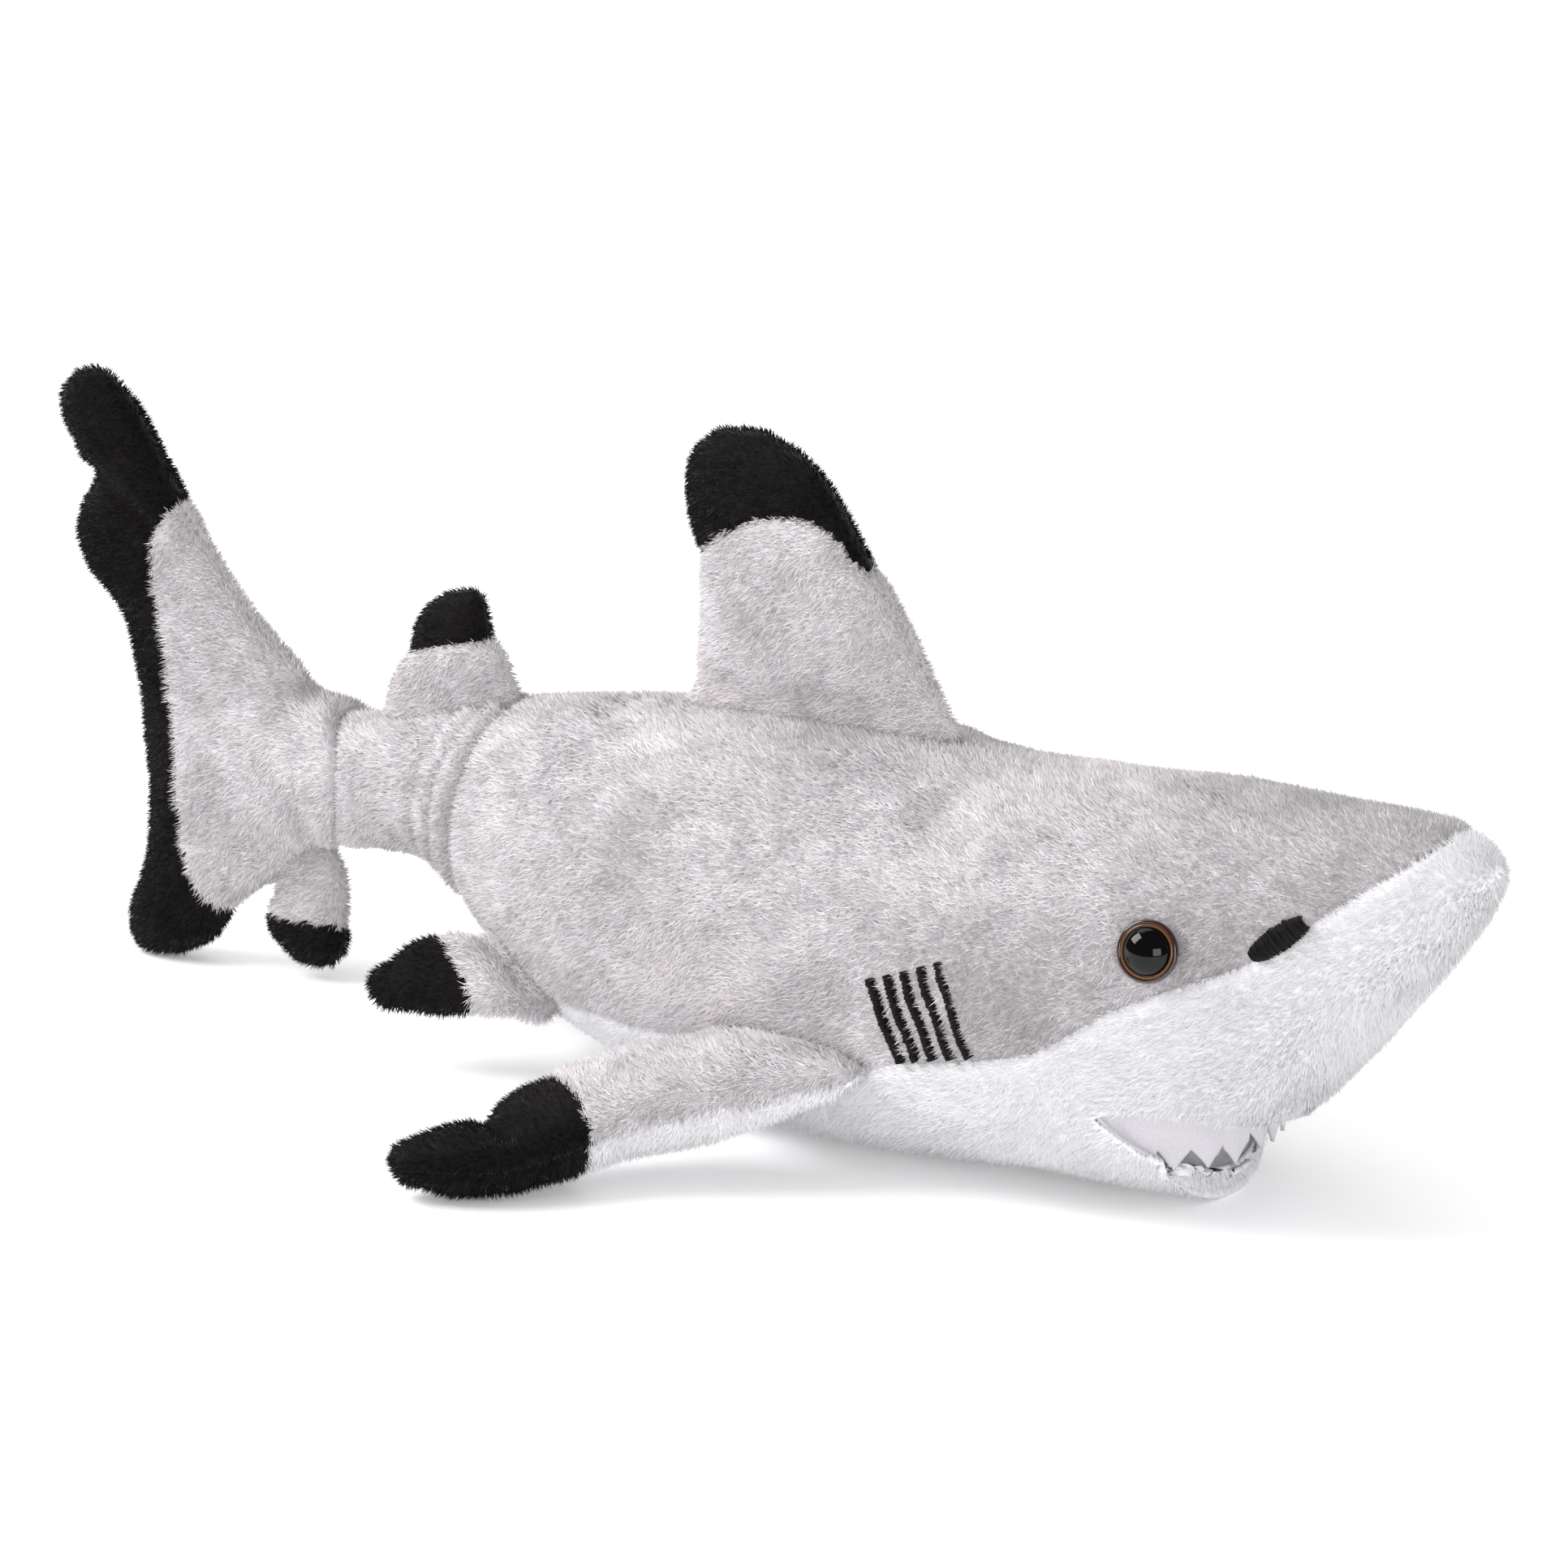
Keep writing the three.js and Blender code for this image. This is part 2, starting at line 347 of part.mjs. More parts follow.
// Zig-zag felt strip of upper teeth, hanging inside the lip.
{
  // Lip line in plan, from the right corner round the front to the left corner.
  const half = [];
  for (let x = JAW_X + 2.5; x <= 123.5; x += 0.5) {
    const { p } = onTrunk(x, 25.5, 1);
    if (p.y > 6) half.push([x, p.y]);
  }
  half.push([half[half.length - 1][0] + 0.8, 0]);
  const full = [...half.map(([x, y]) => [x, -y]), ...half.slice(0, -1).reverse().map(([x, y]) => [x, y])];
  const c = new THREE.CatmullRomCurve3(full.filter((_, i) => i % 3 === 0 || Math.abs(full[i][1]) < 0.01).map(([x, y]) => V(x, y, 0)));
  const N = 64, P = c.getSpacedPoints(N);
  const rings = [];
  for (let i = 0; i <= N; i++) {
    const a = P[Math.max(i - 1, 0)], b = P[Math.min(i + 1, N)], t = b.clone().sub(a).normalize(), out = V(t.y, -t.x, 0);
    if (out.x < 0 && Math.abs(P[i].y) < 20) out.negate();
    const q = P[i].clone().addScaledVector(out, -3.1), u = Math.min(i, N - i) / (N / 2);
    const top = 27.0 - 3.6 * Math.min(1, u * u * 1.6);
    const k = i % 8, tooth = 4.4 * (1 - Math.abs(k - 4) / 4);
    const zb = 13.0 + 5.0 * Math.max(0, 1 - u * 2.2) ** 1.2 + 5.6 * Math.max(0, u - 0.55) / 0.45 + tooth * Math.min(1, u * 4);
    const th = out.clone().multiplyScalar(0.5);
    rings.push([q.clone().add(th).setZ(zb), q.clone().add(th).setZ(top), q.clone().sub(th).setZ(top), q.clone().sub(th).setZ(zb)]);
  }
  add("upper_teeth_strip", "felt", loft(rings.filter((_, i) => i >= 4 && i <= N - 4), null, null));
}

// ---- fins on the back and below -----------------------------------------------------------------------------
const dorsalPlace = (h, x) => V(x, 0, 88.7 + h + (x - 12) * 0.03);
const secondPlace = (h, x) => V(x - 73, 0, 78.6 + h + x * 0.235);
function pocket(name, rows, tip, place, line, slotTop, fill) {
  const o = bladeFin(rows, tip, 0, place, 12), i = bladeFin(rows, tip, FIN_SKIN, place, 12), s = bladeFin(rows, tip, FIN_SKIN + 0.7, place, 8);
  const pts = line.map(([x, h]) => place(h, x));
  const up = prismY([...pts.map((p) => [p.x, p.z + GAP / 2]), [pts[pts.length - 1].x, 400], [pts[0].x, 400]]);
  const dn = prismY([...pts.map((p) => [p.x, p.z - GAP / 2]), [pts[pts.length - 1].x, -200], [pts[0].x, -200]].reverse());
  return { o, i, s, up, dn };
}
{
  const d = pocket("dorsal", DORSAL, DORSAL_TIP, dorsalPlace, DORSAL_LINE);
  add("dorsal_fin_cover", "grey_plush", d.o.subtract(d.i.add(boxOf([-19, -2.4, 85], [36, 2.4, 96]))).intersect(d.dn));
  add("dorsal_fin_tip", "black_plush", d.o.subtract(d.i).intersect(d.up));
  add("dorsal_fin_stuffing", "stuffing", d.s);
}
{
  const line = [[-60, 10], [-31.2, 12.6], [-20, 13], [-6.8, 13.2], [20, 14]];
  const d = pocket("second", SECOND, SECOND_TIP, secondPlace, line);
  add("second_dorsal_cover", "grey_plush", d.o.subtract(d.i.add(boxOf([-106, -1.8, 66], [-79, 1.8, 80]))).intersect(d.dn));
  add("second_dorsal_tip", "black_plush", d.o.subtract(d.i).intersect(d.up));
  add("second_dorsal_stuffing", "stuffing", d.s);
}

// ---- tail ---------------------------------------------------------------------------------------------------
const yaw = new THREE.Matrix4().makeTranslation(TAIL_X, 0, 0).multiply(new THREE.Matrix4().makeRotationZ((TAIL_YAW * Math.PI) / 180)).multiply(new THREE.Matrix4().makeTranslation(-TAIL_X, 0, 0));
const STUB = [[-104, 14.6, 66.4, 37.4], [-112, 14.8, 66.2, 37.2], [-119, 15.0, 66.2, 37.0], [-126, 14.2, 67.6, 35.0], [-134, 12.0, 71.4, 30.6], [-142, 9.8, 77.0, 26.0], [-150, 7.6, 84.0, 22.0], [-157, 5.6, 88, 22]];
function stub(off, seg = 18) {
  const rings = STUB.map(([x, w, zt, zb], i) => Array.from({ length: seg }, (_, j) => {
    const a = (2 * Math.PI * (j + 0.5)) / seg, m = (zt + zb) / 2;
    return V(x + (i ? 0 : -off), Math.max(w - off, 1) * Math.cos(a), m + ((zt - zb) / 2 - off) * Math.sin(a));
  }));
  return loft(rings, null, null).intersect(cylinder(TAIL_R - off, 120, tailAxis, V(0, 0, 1), 32).add(boxOf([-220, -60, -20], [TAIL_X, 60, 160])));
}
const caudalPlace = (h, x) => V(x + TAIL_X, 0, h);
const cPts = CAUDAL_LINE.map(([x, h]) => [x + TAIL_X, h]);
const cBack = prismY([...cPts.map(([x, z]) => [x - GAP / 2, z]), [-150, 400], [-320, 400], [-320, -100], [-150, -100]]);
const cFront = prismY([...cPts.map(([x, z]) => [x + GAP / 2, z]), [-152, 400], [-60, 400], [-60, -100], [-152, -100]].reverse());
{
  const fo = bladeFin(CAUDAL, CAUDAL_TOP, 0, caudalPlace, 10, CAUDAL_LOW), fi = bladeFin(CAUDAL, CAUDAL_TOP, FIN_SKIN, caudalPlace, 10, CAUDAL_LOW);
  const fs = bladeFin(CAUDAL, CAUDAL_TOP, FIN_SKIN + 0.7, caudalPlace, 8, CAUDAL_LOW);
  const o = stub(0).add(fo), i = stub(SKIN).add(fi), s = stub(SKIN + 0.9, 14).add(fs);
  const mouthOfTail = boxOf([TAIL_X + 8, -8, 43], [TAIL_X + 30, 8, 60]); // the sleeve is open where the trunk's stuffing meets it
  add("tail_fin_cover", "grey_plush", moved(o.subtract(i.add(mouthOfTail)).intersect(cFront), yaw));
  add("tail_fin_edge", "black_plush", moved(fo.subtract(fi).intersect(cBack), yaw));
  add("tail_fin_stuffing", "stuffing", moved(s, yaw));
}
{
  // Fin below the root of the tail, hanging from a sewn line.
  const place = (h, x) => V(x + TAIL_X, 0, h);
  const o = bladeFin(ANAL, ANAL_TIP, 0, place, 10), i = bladeFin(ANAL, ANAL_TIP, FIN_SKIN, place, 10), s = bladeFin(ANAL.map(([h, r, f, t, hr]) => [h + 0.7, r, f, t, hr + 0.7]), ANAL_TIP, FIN_SKIN + 1.3, place, 10);
  const open = prismY([[TAIL_X - 8, 31], [TAIL_X - 8, 25.5], [TAIL_X - 20, 19], [TAIL_X - 20, 25]].reverse(), -1.4, 1.4);
  const dn = prismY([[-180, 17.8], [-100, 13.0], [-100, -60], [-180, -60]].reverse()), up = prismY([[-180, 18.1], [-100, 13.3], [-100, 90], [-180, 90]]);
  add("anal_fin_cover", "grey_plush", moved(o.subtract(i.add(open)).intersect(up), yaw));
  add("anal_fin_tip", "black_plush", moved(o.subtract(i).intersect(dn), yaw));
  add("anal_fin_stuffing", "stuffing", moved(s, yaw));
}

// ---- paired fins --------------------------------------------------------------------------------------------
// Surface through both edges that parts upper from lower cloth, as a thick slab standing on it.
function slab(rows, tip, from, to) {
  const ext = [...rows.map(([f, r]) => [V(...f), V(...r)])];
  const t = V(...tip), last = ext[ext.length - 1];
  const d = t.clone().sub(last[0].clone().add(last[1]).multiplyScalar(0.5)).multiplyScalar(2.2);
  ext.push([last[0].clone().add(d), last[1].clone().add(d)]);
  const d0 = ext[1][0].clone().sub(ext[0][0]).multiplyScalar(2);
  ext.unshift([ext[0][0].clone().sub(d0), ext[0][1].clone().sub(d0)]);
  const rings = ext.map(([f, r]) => {
    const F = f.clone().lerp(r, -0.6), R = r.clone().lerp(f, -0.6);
    return [[F, from], [R, from], [R, to], [F, to]].map(([p, z]) => p.clone().setZ(p.z + z));
  });
  return loft(rings, null, null);
}
function paired(prefix, rows, tip, cutA, cutB, fillSeg) {
  // cutA, cutB: two points in plan; the black tip lies beyond the line through them.
  const A = V(cutA[0], cutA[1], 0), B = V(cutB[0], cutB[1], 0), t = B.clone().sub(A).normalize(), out = V(t.y, -t.x, 0);
  if (V(...tip).sub(A).dot(out) < 0) out.negate();
  const M = A.clone().add(B).multiplyScalar(0.5);
  const beyond = (d) => {
    const q = new THREE.Quaternion().setFromUnitVectors(V(1, 0, 0), out);
    return solid(new THREE.BoxGeometry(200, 200, 200), new THREE.Matrix4().compose(M.clone().addScaledVector(out, 100 + d), q, V(1, 1, 1)));
  };
  const o = pairedFin(rows, tip, 0), i = pairedFin(rows, tip, FIN_SKIN), s = pairedFin(rows, tip, FIN_SKIN + 0.7, 8);
  const root = V(...rows[0][0]).add(V(...rows[0][1])).multiplyScalar(0.5), chord = V(...rows[0][0]).sub(V(...rows[0][1]));
  const q = new THREE.Quaternion().setFromUnitVectors(V(1, 0, 0), chord.clone().normalize());
  const open = solid(new THREE.BoxGeometry(chord.length() * 0.7, 12, 3), new THREE.Matrix4().compose(root, q, V(1, 1, 1)));
  const shell = o.subtract(i.add(open)), cloth = shell.subtract(beyond(-GAP / 2));
  const top = main(cloth.intersect(slab(rows, tip, GAP, 60))), bottom = main(cloth.subtract(slab(rows, tip, -GAP, 60)).subtract(top.translate([0, 0, -GAP])).subtract(top));
  for (const side of [-1, 1]) {
    const w = side < 0 ? "right" : "left", f = (m) => (side < 0 ? m : mirror(m));
    add(prefix + "_upper_" + w, "grey_plush", f(top));
    add(prefix + "_lower_" + w, "white_plush", f(bottom));
    add(prefix + "_tip_" + w, "black_plush", f(shell.intersect(beyond(GAP / 2))));
    add(prefix + "_stuffing_" + w, "stuffing", f(s));
  }
}
paired("pectoral_fin", rooted(PECTORAL), PECTORAL_TIP, [8, -80], [-14, -70]);
paired("pelvic_fin", rooted(PELVIC), PELVIC_TIP, [-58.5, -37], [-76, -29]);

// ---- eyes ---------------------------------------------------------------------------------------------------
for (const side of [-1, 1]) {
  const w = side < 0 ? "right" : "left", { p, n } = eyeDir(side);
  const m = new THREE.Matrix4().compose(p.clone().addScaledVector(n, 0.5), new THREE.Quaternion().setFromUnitVectors(V(0, 1, 0), n), V(1, 1, 1));
  const lathe = (pts, seg = 16) => solid(new THREE.LatheGeometry(pts.map(([r, y]) => new THREE.Vector2(r, y)), seg), m);
  // Snap-in eye: ribbed shank, backing disc and dome. The amber ring lies round the dome.
  const dome = [];
  for (let i = 0; i <= 4; i++) { const a = (i / 4) * (Math.PI / 2); dome.push([4.5 * Math.cos(a), 1.0 + 3.4 * Math.sin(a)]); }
  dome[4][0] = 0;
  add("eye_" + w, "eye_black", lathe([[0, -EYE_SHANK_L], [1.2, -EYE_SHANK_L], [EYE_SHANK_R, -EYE_SHANK_L + 1.5], [EYE_SHANK_R, -0.2], [EYE_R - 0.4, -0.2], [EYE_R, 0.3], [EYE_R, 0.8], [EYE_R - 0.5, 1.0], ...dome]));
  add("eye_ring_" + w, "eye_amber", lathe([[4.75, 1.3], [EYE_R - 0.5, 1.3], [EYE_R - 0.7, 1.9], [5.1, 2.3], [4.75, 2.2], [4.75, 1.3]]));
  add("eye_washer_" + w, "clear_nylon", lathe([[EYE_SHANK_R + 0.15, -SKIN - 1.7 - WASHER_T], [WASHER_R, -SKIN - 1.7 - WASHER_T], [WASHER_R, -SKIN - 1.7], [EYE_SHANK_R + 0.15, -SKIN - 1.7], [EYE_SHANK_R + 0.15, -SKIN - 1.7 - WASHER_T]]));
}

// ---- stitched gills and nostrils ----------------------------------------------------------------------------
// A flat strip that lies on the cloth along points given by x and height.
function strip(path, side, width, thick) {
  const P = path.map(([x, z]) => {
    let lo = -Math.PI / 2, hi = Math.PI / 2;
    for (let i = 0; i < 40; i++) { const m = (lo + hi) / 2; bodyPoint(x, m).z < z ? (lo = m) : (hi = m); }
    const e = 0.03, b = bodyPoint(x, lo);
    const n = bodyPoint(x, lo + e).sub(bodyPoint(x, lo - e)).cross(bodyPoint(x + 1, lo).sub(bodyPoint(x - 1, lo))).normalize();
    if (n.y < 0) n.negate();
    return { b, n };
  });
  const rings = P.map(({ b, n }, i) => {
    const t = P[Math.min(i + 1, P.length - 1)].b.clone().sub(P[Math.max(i - 1, 0)].b).normalize(), s = t.clone().cross(n).normalize();
    const W = typeof width === "function" ? width(i / (P.length - 1)) : width;
    const at = (u, v) => b.clone().addScaledVector(s, (u * W) / 2).addScaledVector(n, 0.3 + v);
    return [at(-1, 0), at(1, 0), at(1, thick * 0.6), at(0.4, thick), at(-0.4, thick), at(-1, thick * 0.6)];
  });
  const m = loft(rings, null, null);
  return side > 0 ? m : mirror(m);
}
for (const side of [-1, 1]) {
  const w = side < 0 ? "right" : "left";
  for (let g = 0; g < GILLS; g++) {
    const k = g / (GILLS - 1), a = [52.4 + 16.4 * k, 47.9 + 6.4 * k], b = [60.3 + 16.6 * k, 31.4 + 4.2 * k];
    add("gill_" + w + "_" + (g + 1), "black_thread", strip(Array.from({ length: 5 }, (_, i) => [a[0] + ((b[0] - a[0]) * i) / 4, a[1] + ((b[1] - a[1]) * i) / 4]), side, GILL_W, GILL_T));
  }
  const a = [135.2, 64.8], b = [145.6, 73.6];
  add("nostril_" + w, "black_thread", strip(Array.from({ length: 8 }, (_, i) => [a[0] + ((b[0] - a[0]) * i) / 7, a[1] + ((b[1] - a[1]) * i) / 7]), side, (u) => 1.2 + 3.2 * Math.sin(Math.PI * (0.08 + 0.84 * u)) ** 0.6, 1.0));
}

part.position.set(...SHIFT);
export default part;
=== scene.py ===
import bpy
import math
import numpy as np
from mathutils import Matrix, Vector


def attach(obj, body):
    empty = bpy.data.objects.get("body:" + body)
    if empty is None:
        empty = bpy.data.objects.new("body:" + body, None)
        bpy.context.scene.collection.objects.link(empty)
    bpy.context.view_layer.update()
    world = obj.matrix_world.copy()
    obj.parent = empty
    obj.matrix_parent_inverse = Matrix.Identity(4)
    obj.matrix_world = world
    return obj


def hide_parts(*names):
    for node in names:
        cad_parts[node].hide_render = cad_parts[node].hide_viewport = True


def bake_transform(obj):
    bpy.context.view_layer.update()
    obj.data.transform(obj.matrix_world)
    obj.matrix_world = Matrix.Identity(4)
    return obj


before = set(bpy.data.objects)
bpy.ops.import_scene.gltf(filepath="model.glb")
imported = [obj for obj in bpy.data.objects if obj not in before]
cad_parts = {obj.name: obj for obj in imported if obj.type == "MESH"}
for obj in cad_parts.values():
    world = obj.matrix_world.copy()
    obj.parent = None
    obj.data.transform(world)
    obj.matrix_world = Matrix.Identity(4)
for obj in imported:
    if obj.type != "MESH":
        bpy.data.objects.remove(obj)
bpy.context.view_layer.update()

MM = 0.001
SHIFT = np.array([9.15, 0.0, -0.281])  # the same shift as in the CAD source

# ---- dimensions, in millimetres, as in the CAD source ---------------------------------------------------------
# Trunk: x, half width, top, bottom, height of the widest point, upper and lower roundness.
BODY = [
    [-135, 13.6, 68.0, 34.0, 51.0, 2.1, 2.1], [-121, 15.0, 66.6, 35.0, 51.0, 2.1, 2.1], [-110, 16.2, 68.0, 36.6, 52.0, 2.1, 2.1],
    [-95, 18.8, 71.6, 37.2, 53.0, 2.1, 2.1], [-82, 22.2, 74.8, 33.0, 52.5, 2.1, 2.15], [-70, 26.0, 77.6, 22.5, 51.0, 2.1, 2.2],
    [-58, 30.0, 80.0, 13.2, 49.0, 2.1, 2.25], [-45, 34.0, 82.4, 7.4, 46.5, 2.1, 2.3], [-30, 37.6, 84.8, 3.8, 44.0, 2.1, 2.45],
    [-12, 40.8, 87.0, 1.0, 42.0, 2.1, 2.6], [0, 42.2, 87.8, 0, 41.2, 2.1, 2.75], [14, 43.6, 88.4, 0, 40.4, 2.1, 2.8],
    [35, 44.8, 88.0, 0, 40.0, 2.1, 2.9], [60, 45.0, 86.4, 0.6, 41.0, 2.1, 2.7], [82, 44.0, 86.8, 2.4, 42.5, 2.15, 2.5],
    [98, 42.2, 88.2, 2.4, 44.5, 2.2, 2.34], [107, 40.6, 89.2, 1.3, 46.0, 2.2, 2.2], [112, 39.2, 89.6, 0.5, 48.0, 2.2, 2.05],
    [115.3, 38.3, 89.7, 0.6, 49.0, 2.2, 1.98], [116.7, 37.9, 89.8, 8.4, 49.4, 2.2, 2.0], [118, 37.4, 89.9, 10.4, 50.0, 2.2, 2.1],
    [124, 35.2, 90.0, 16.4, 52.0, 2.2, 2.35], [132, 32.4, 90.2, 20.8, 55.0, 2.2, 2.4], [142, 28.6, 90.4, 31.6, 61.5, 2.2, 2.35],
    [152, 23.8, 90.8, 43.6, 68.0, 2.15, 2.3], [160, 19.2, 90.6, 53.6, 73.0, 2.1, 2.2], [167, 14.0, 88.4, 63.4, 76.8, 2.0, 2.1],
    [171.5, 9.4, 86.2, 70.4, 78.8, 2.0, 2.0], [174.5, 4.6, 83.6, 76.4, 80.0, 2.0, 2.0],
]
NOSE = np.array([175.8, 0.0, 80.2])
SEAM = [
    [-140, -30], [-66, 6], [-60, 12.5], [-50, 17.5], [-36, 20.5], [-10, 22.4], [20, 25], [50, 27.2], [58, 29.6], [68, 32], [79, 34.8],
    [91.6, 39], [100.4, 44.7], [110.6, 51.6], [123, 57.6], [135.3, 63.6], [141, 67.4], [146, 72.2], [152, 77.4], [159.5, 83.4],
    [165.3, 88.6], [168.5, 92.4], [174, 99], [190, 120],
]
DORSAL = [
    [0.0, -23.0, 44.5, 3.4], [3.5, -22.8, 43.4, 6.4], [9, -22.4, 39.5, 8.2], [20, -22.0, 33.2, 8.6], [31, -21.2, 25.2, 8.2],
    [40, -24.2, 18.8, 7.4], [49, -25.0, 12.4, 6.4], [55, -23.2, 5.8, 5.0], [58.8, -18.8, -2.4, 3.0],
]
DORSAL_TIP = [60.6, -11]
DORSAL_LINE = [[-60, 20], [-23, 30.0], [-16, 34.2], [-9.8, 39.2], [-2, 42], [5, 43.2], [11, 42.6], [15, 40.6], [18, 37.2], [20.6, 34.0], [23, 32.4], [40, 30]]
SECOND = [
    [0.0, -37.5, 0, 2.6], [3.2, -37, -0.6, 4.6], [8, -34.5, -2.6, 5.6], [13.5, -29.3, -6.4, 5.4], [18.5, -27.8, -7.4, 4.8],
    [23, -24.6, -8.4, 3.8], [25.2, -21, -10.6, 2.2],
]
SECOND_TIP = [26, -15.5]
SECOND_LINE = [[-60, 10], [-31.2, 12.6], [-20, 13], [-6.8, 13.2], [20, 14]]
TAIL_X, TAIL_YAW = -119.0, math.radians(10)
ANAL = [
    [29.6, -23.0, -5.0, 2.6, 19.8], [26, -24.4, -4.2, 4.2, 17.4], [19.5, -25, -3.6, 5.0, 14.4], [13, -24, -3.4, 5.0, 11],
    [8, -21.6, -3.9, 4.2, 7.6], [4.6, -18.6, -7, 2.6, 4.8],
]
ANAL_TIP = [3.2, -12.8]
CAUDAL = [
    [2.2, -61.0, -45.5, 3.4], [6.5, -62.4, -38.5, 5.6], [13, -61.4, -34.6, 6.2], [19, -58.6, -29.0, 6.6], [27, -56.2, -17, 6.8],
    [36, -55.8, -10, 7.0], [54, -56.8, -8, 7.0], [72, -59.0, -12.4, 7.0], [81, -60.8, -21, 6.8], [87, -64.2, -26.8, 6.6],
    [94, -71.2, -31.8, 6.6], [101, -73.4, -36.6, 6.5], [108, -71.4, -41.0, 6.4], [115, -67.2, -45.8, 6.2], [121, -70.6, -49.6, 5.9],
    [127.3, -75.2, -52.8, 5.4], [133.8, -76.2, -57.2, 4.4], [138.8, -72.4, -62.2, 2.8],
]
CAUDAL_LOW, CAUDAL_TOP = [0.4, -54], [140.8, -67.2]
CAUDAL_LINE = [
    [-20, 11.6], [-31.6, 14.0], [-36.6, 15.6], [-41.2, 20], [-43.8, 27.6], [-45.2, 37.2], [-46, 56.8], [-47.4, 76.3], [-49.2, 87.8],
    [-50.6, 97.3], [-50.2, 102.6], [-47, 107.8], [-42.6, 114.8], [-36, 122],
]
STUB = [[-104, 14.6, 66.4, 37.4], [-112, 14.8, 66.2, 37.2], [-119, 15.0, 66.2, 37.0], [-126, 14.2, 67.6, 35.0], [-134, 12.0, 71.4, 30.6], [-142, 9.8, 77.0, 26.0], [-150, 7.6, 84.0, 22.0], [-157, 5.6, 88, 22]]
PECTORAL = [
    [[52, 27], [9, 27], 3.2, 3.2], [[47, -51.0, 24.4], [4.5, -49.8, 26.2], 5.2, 7.5], [[37, -57.5, 21.2], [-0.5, -54, 24.4], 6, 11],
    [[24, -68, 18], [-6, -60, 22], 6.5, 13], [[11, -76.5, 14], [-11.5, -68, 19.5], 6.5, 12], [[4, -84.5, 10], [-15.8, -75, 17.4], 6.4, 10.4],
    [[-4, -94, 7.4], [-18.6, -84.5, 13.2], 6.2, 8.6], [[-13, -101.2, 7.2], [-24.8, -93.0, 10.6], 5.8, 7.6], [[-20.5, -104.6, 7.4], [-29, -99.5, 8.8], 4.2, 5.2],
]
PECTORAL_TIP = [-26.8, -104.6, 7.6]
PELVIC = [
    [[-42, 17], [-64, 31.5], 2.6, 2.6], [[-48, -33.4, 16.2], [-69.5, -28.6, 31], 4.2, 4.2], [[-57.5, -36.6, 15.4], [-74, -30.0, 29.6], 4.8, 5.2],
    [[-67, -39.6, 14.8], [-77.8, -32.2, 27.4], 4.6, 5.0], [[-75.5, -41.8, 14.8], [-81.8, -35.6, 23.4], 3.4, 3.8],
]
PELVIC_TIP = [-84.0, -41.4, 18.2]
ROOT_OUT = 3.9
MOUTH = [[103.5, 25.4], [107, 27.3], [113.6, 27.6], [119, 27.4], [123, 26.4], [126, 24.8], [129, 23.2], [132, 22.2], [150, 16], [150, -10], [116.4, -10], [116.4, 9.2], [116.32, 10.6], [116.1, 11.8], [115.6, 12.8], [114.7, 13.7], [113.4, 14.5], [111.6, 15.7], [109.6, 17.5], [105.8, 21.8]]
EYE_X, EYE_Z, EYE_R = 115.2, 64.0, 6.2

# ---- numbers --------------------------------------------------------------------------------------------------


def table(rows):
    """Smooth curve through rows (column 0 is the position), without overshoot. Gives an array of the other columns."""
    r = np.array(rows, float)
    xs, v = r[:, 0], r[:, 1:]
    h = np.diff(xs)
    d = np.diff(v, axis=0) / h[:, None]
    m = np.zeros_like(v)
    m[0], m[-1] = d[0], d[-1]
    a, b = d[:-1], d[1:]
    ok = a * b > 0
    m[1:-1][ok] = (2 * a * b)[ok] / (a + b)[ok]

    def f(x):
        x = np.clip(np.asarray(x, float), xs[0], xs[-1])
        i = np.clip(np.searchsorted(xs, x, side="left") - 1, 0, len(xs) - 2)
        t = ((x - xs[i]) / h[i])[..., None]
        hh = h[i][..., None]
        return ((2 * t**3 - 3 * t * t + 1) * v[i] + (t**3 - 2 * t * t + t) * hh * m[i] + (3 * t * t - 2 * t**3) * v[i + 1] + (t**3 - t * t) * hh * m[i + 1])

    return f


def lattice(i, j, k, seed):
    h = (i * 374761393 + j * 668265263 + k * 1440662683 + seed * 982451653) & 0xFFFFFFFF
    h = ((h ^ (h >> 13)) * 1274126177) & 0xFFFFFFFF
    h = ((h ^ (h >> 16)) * 668265263) & 0xFFFFFFFF
    return ((h ^ (h >> 15)) & 0xFFFFFF) / float(0xFFFFFF)


def noise(p, scale, seed=0):
    """Smooth value noise in -1..1 over points in millimetres."""
    q = np.asarray(p, float) / scale + 100.0
    i = np.floor(q).astype(np.int64)
    f = q - i
    f = f * f * f * (f * (f * 6 - 15) + 10)
    out = np.zeros(len(q))
    for dx in (0, 1):
        for dy in (0, 1):
            for dz in (0, 1):
                w = (f[:, 0] if dx else 1 - f[:, 0]) * (f[:, 1] if dy else 1 - f[:, 1]) * (f[:, 2] if dz else 1 - f[:, 2])
                out += w * lattice(i[:, 0] + dx, i[:, 1] + dy, i[:, 2] + dz, seed)
    return out * 2 - 1


def unit(v):
    return v / np.maximum(np.linalg.norm(v, axis=-1, keepdims=True), 1e-9)


body_at, seam_at = table(BODY), table(SEAM)


def step(a, b, x):
    t = np.clip((x - a) / (b - a), 0, 1)
    return t * t * (3 - 2 * t)


def seam_z(x):
    return seam_at(x)[..., 0]


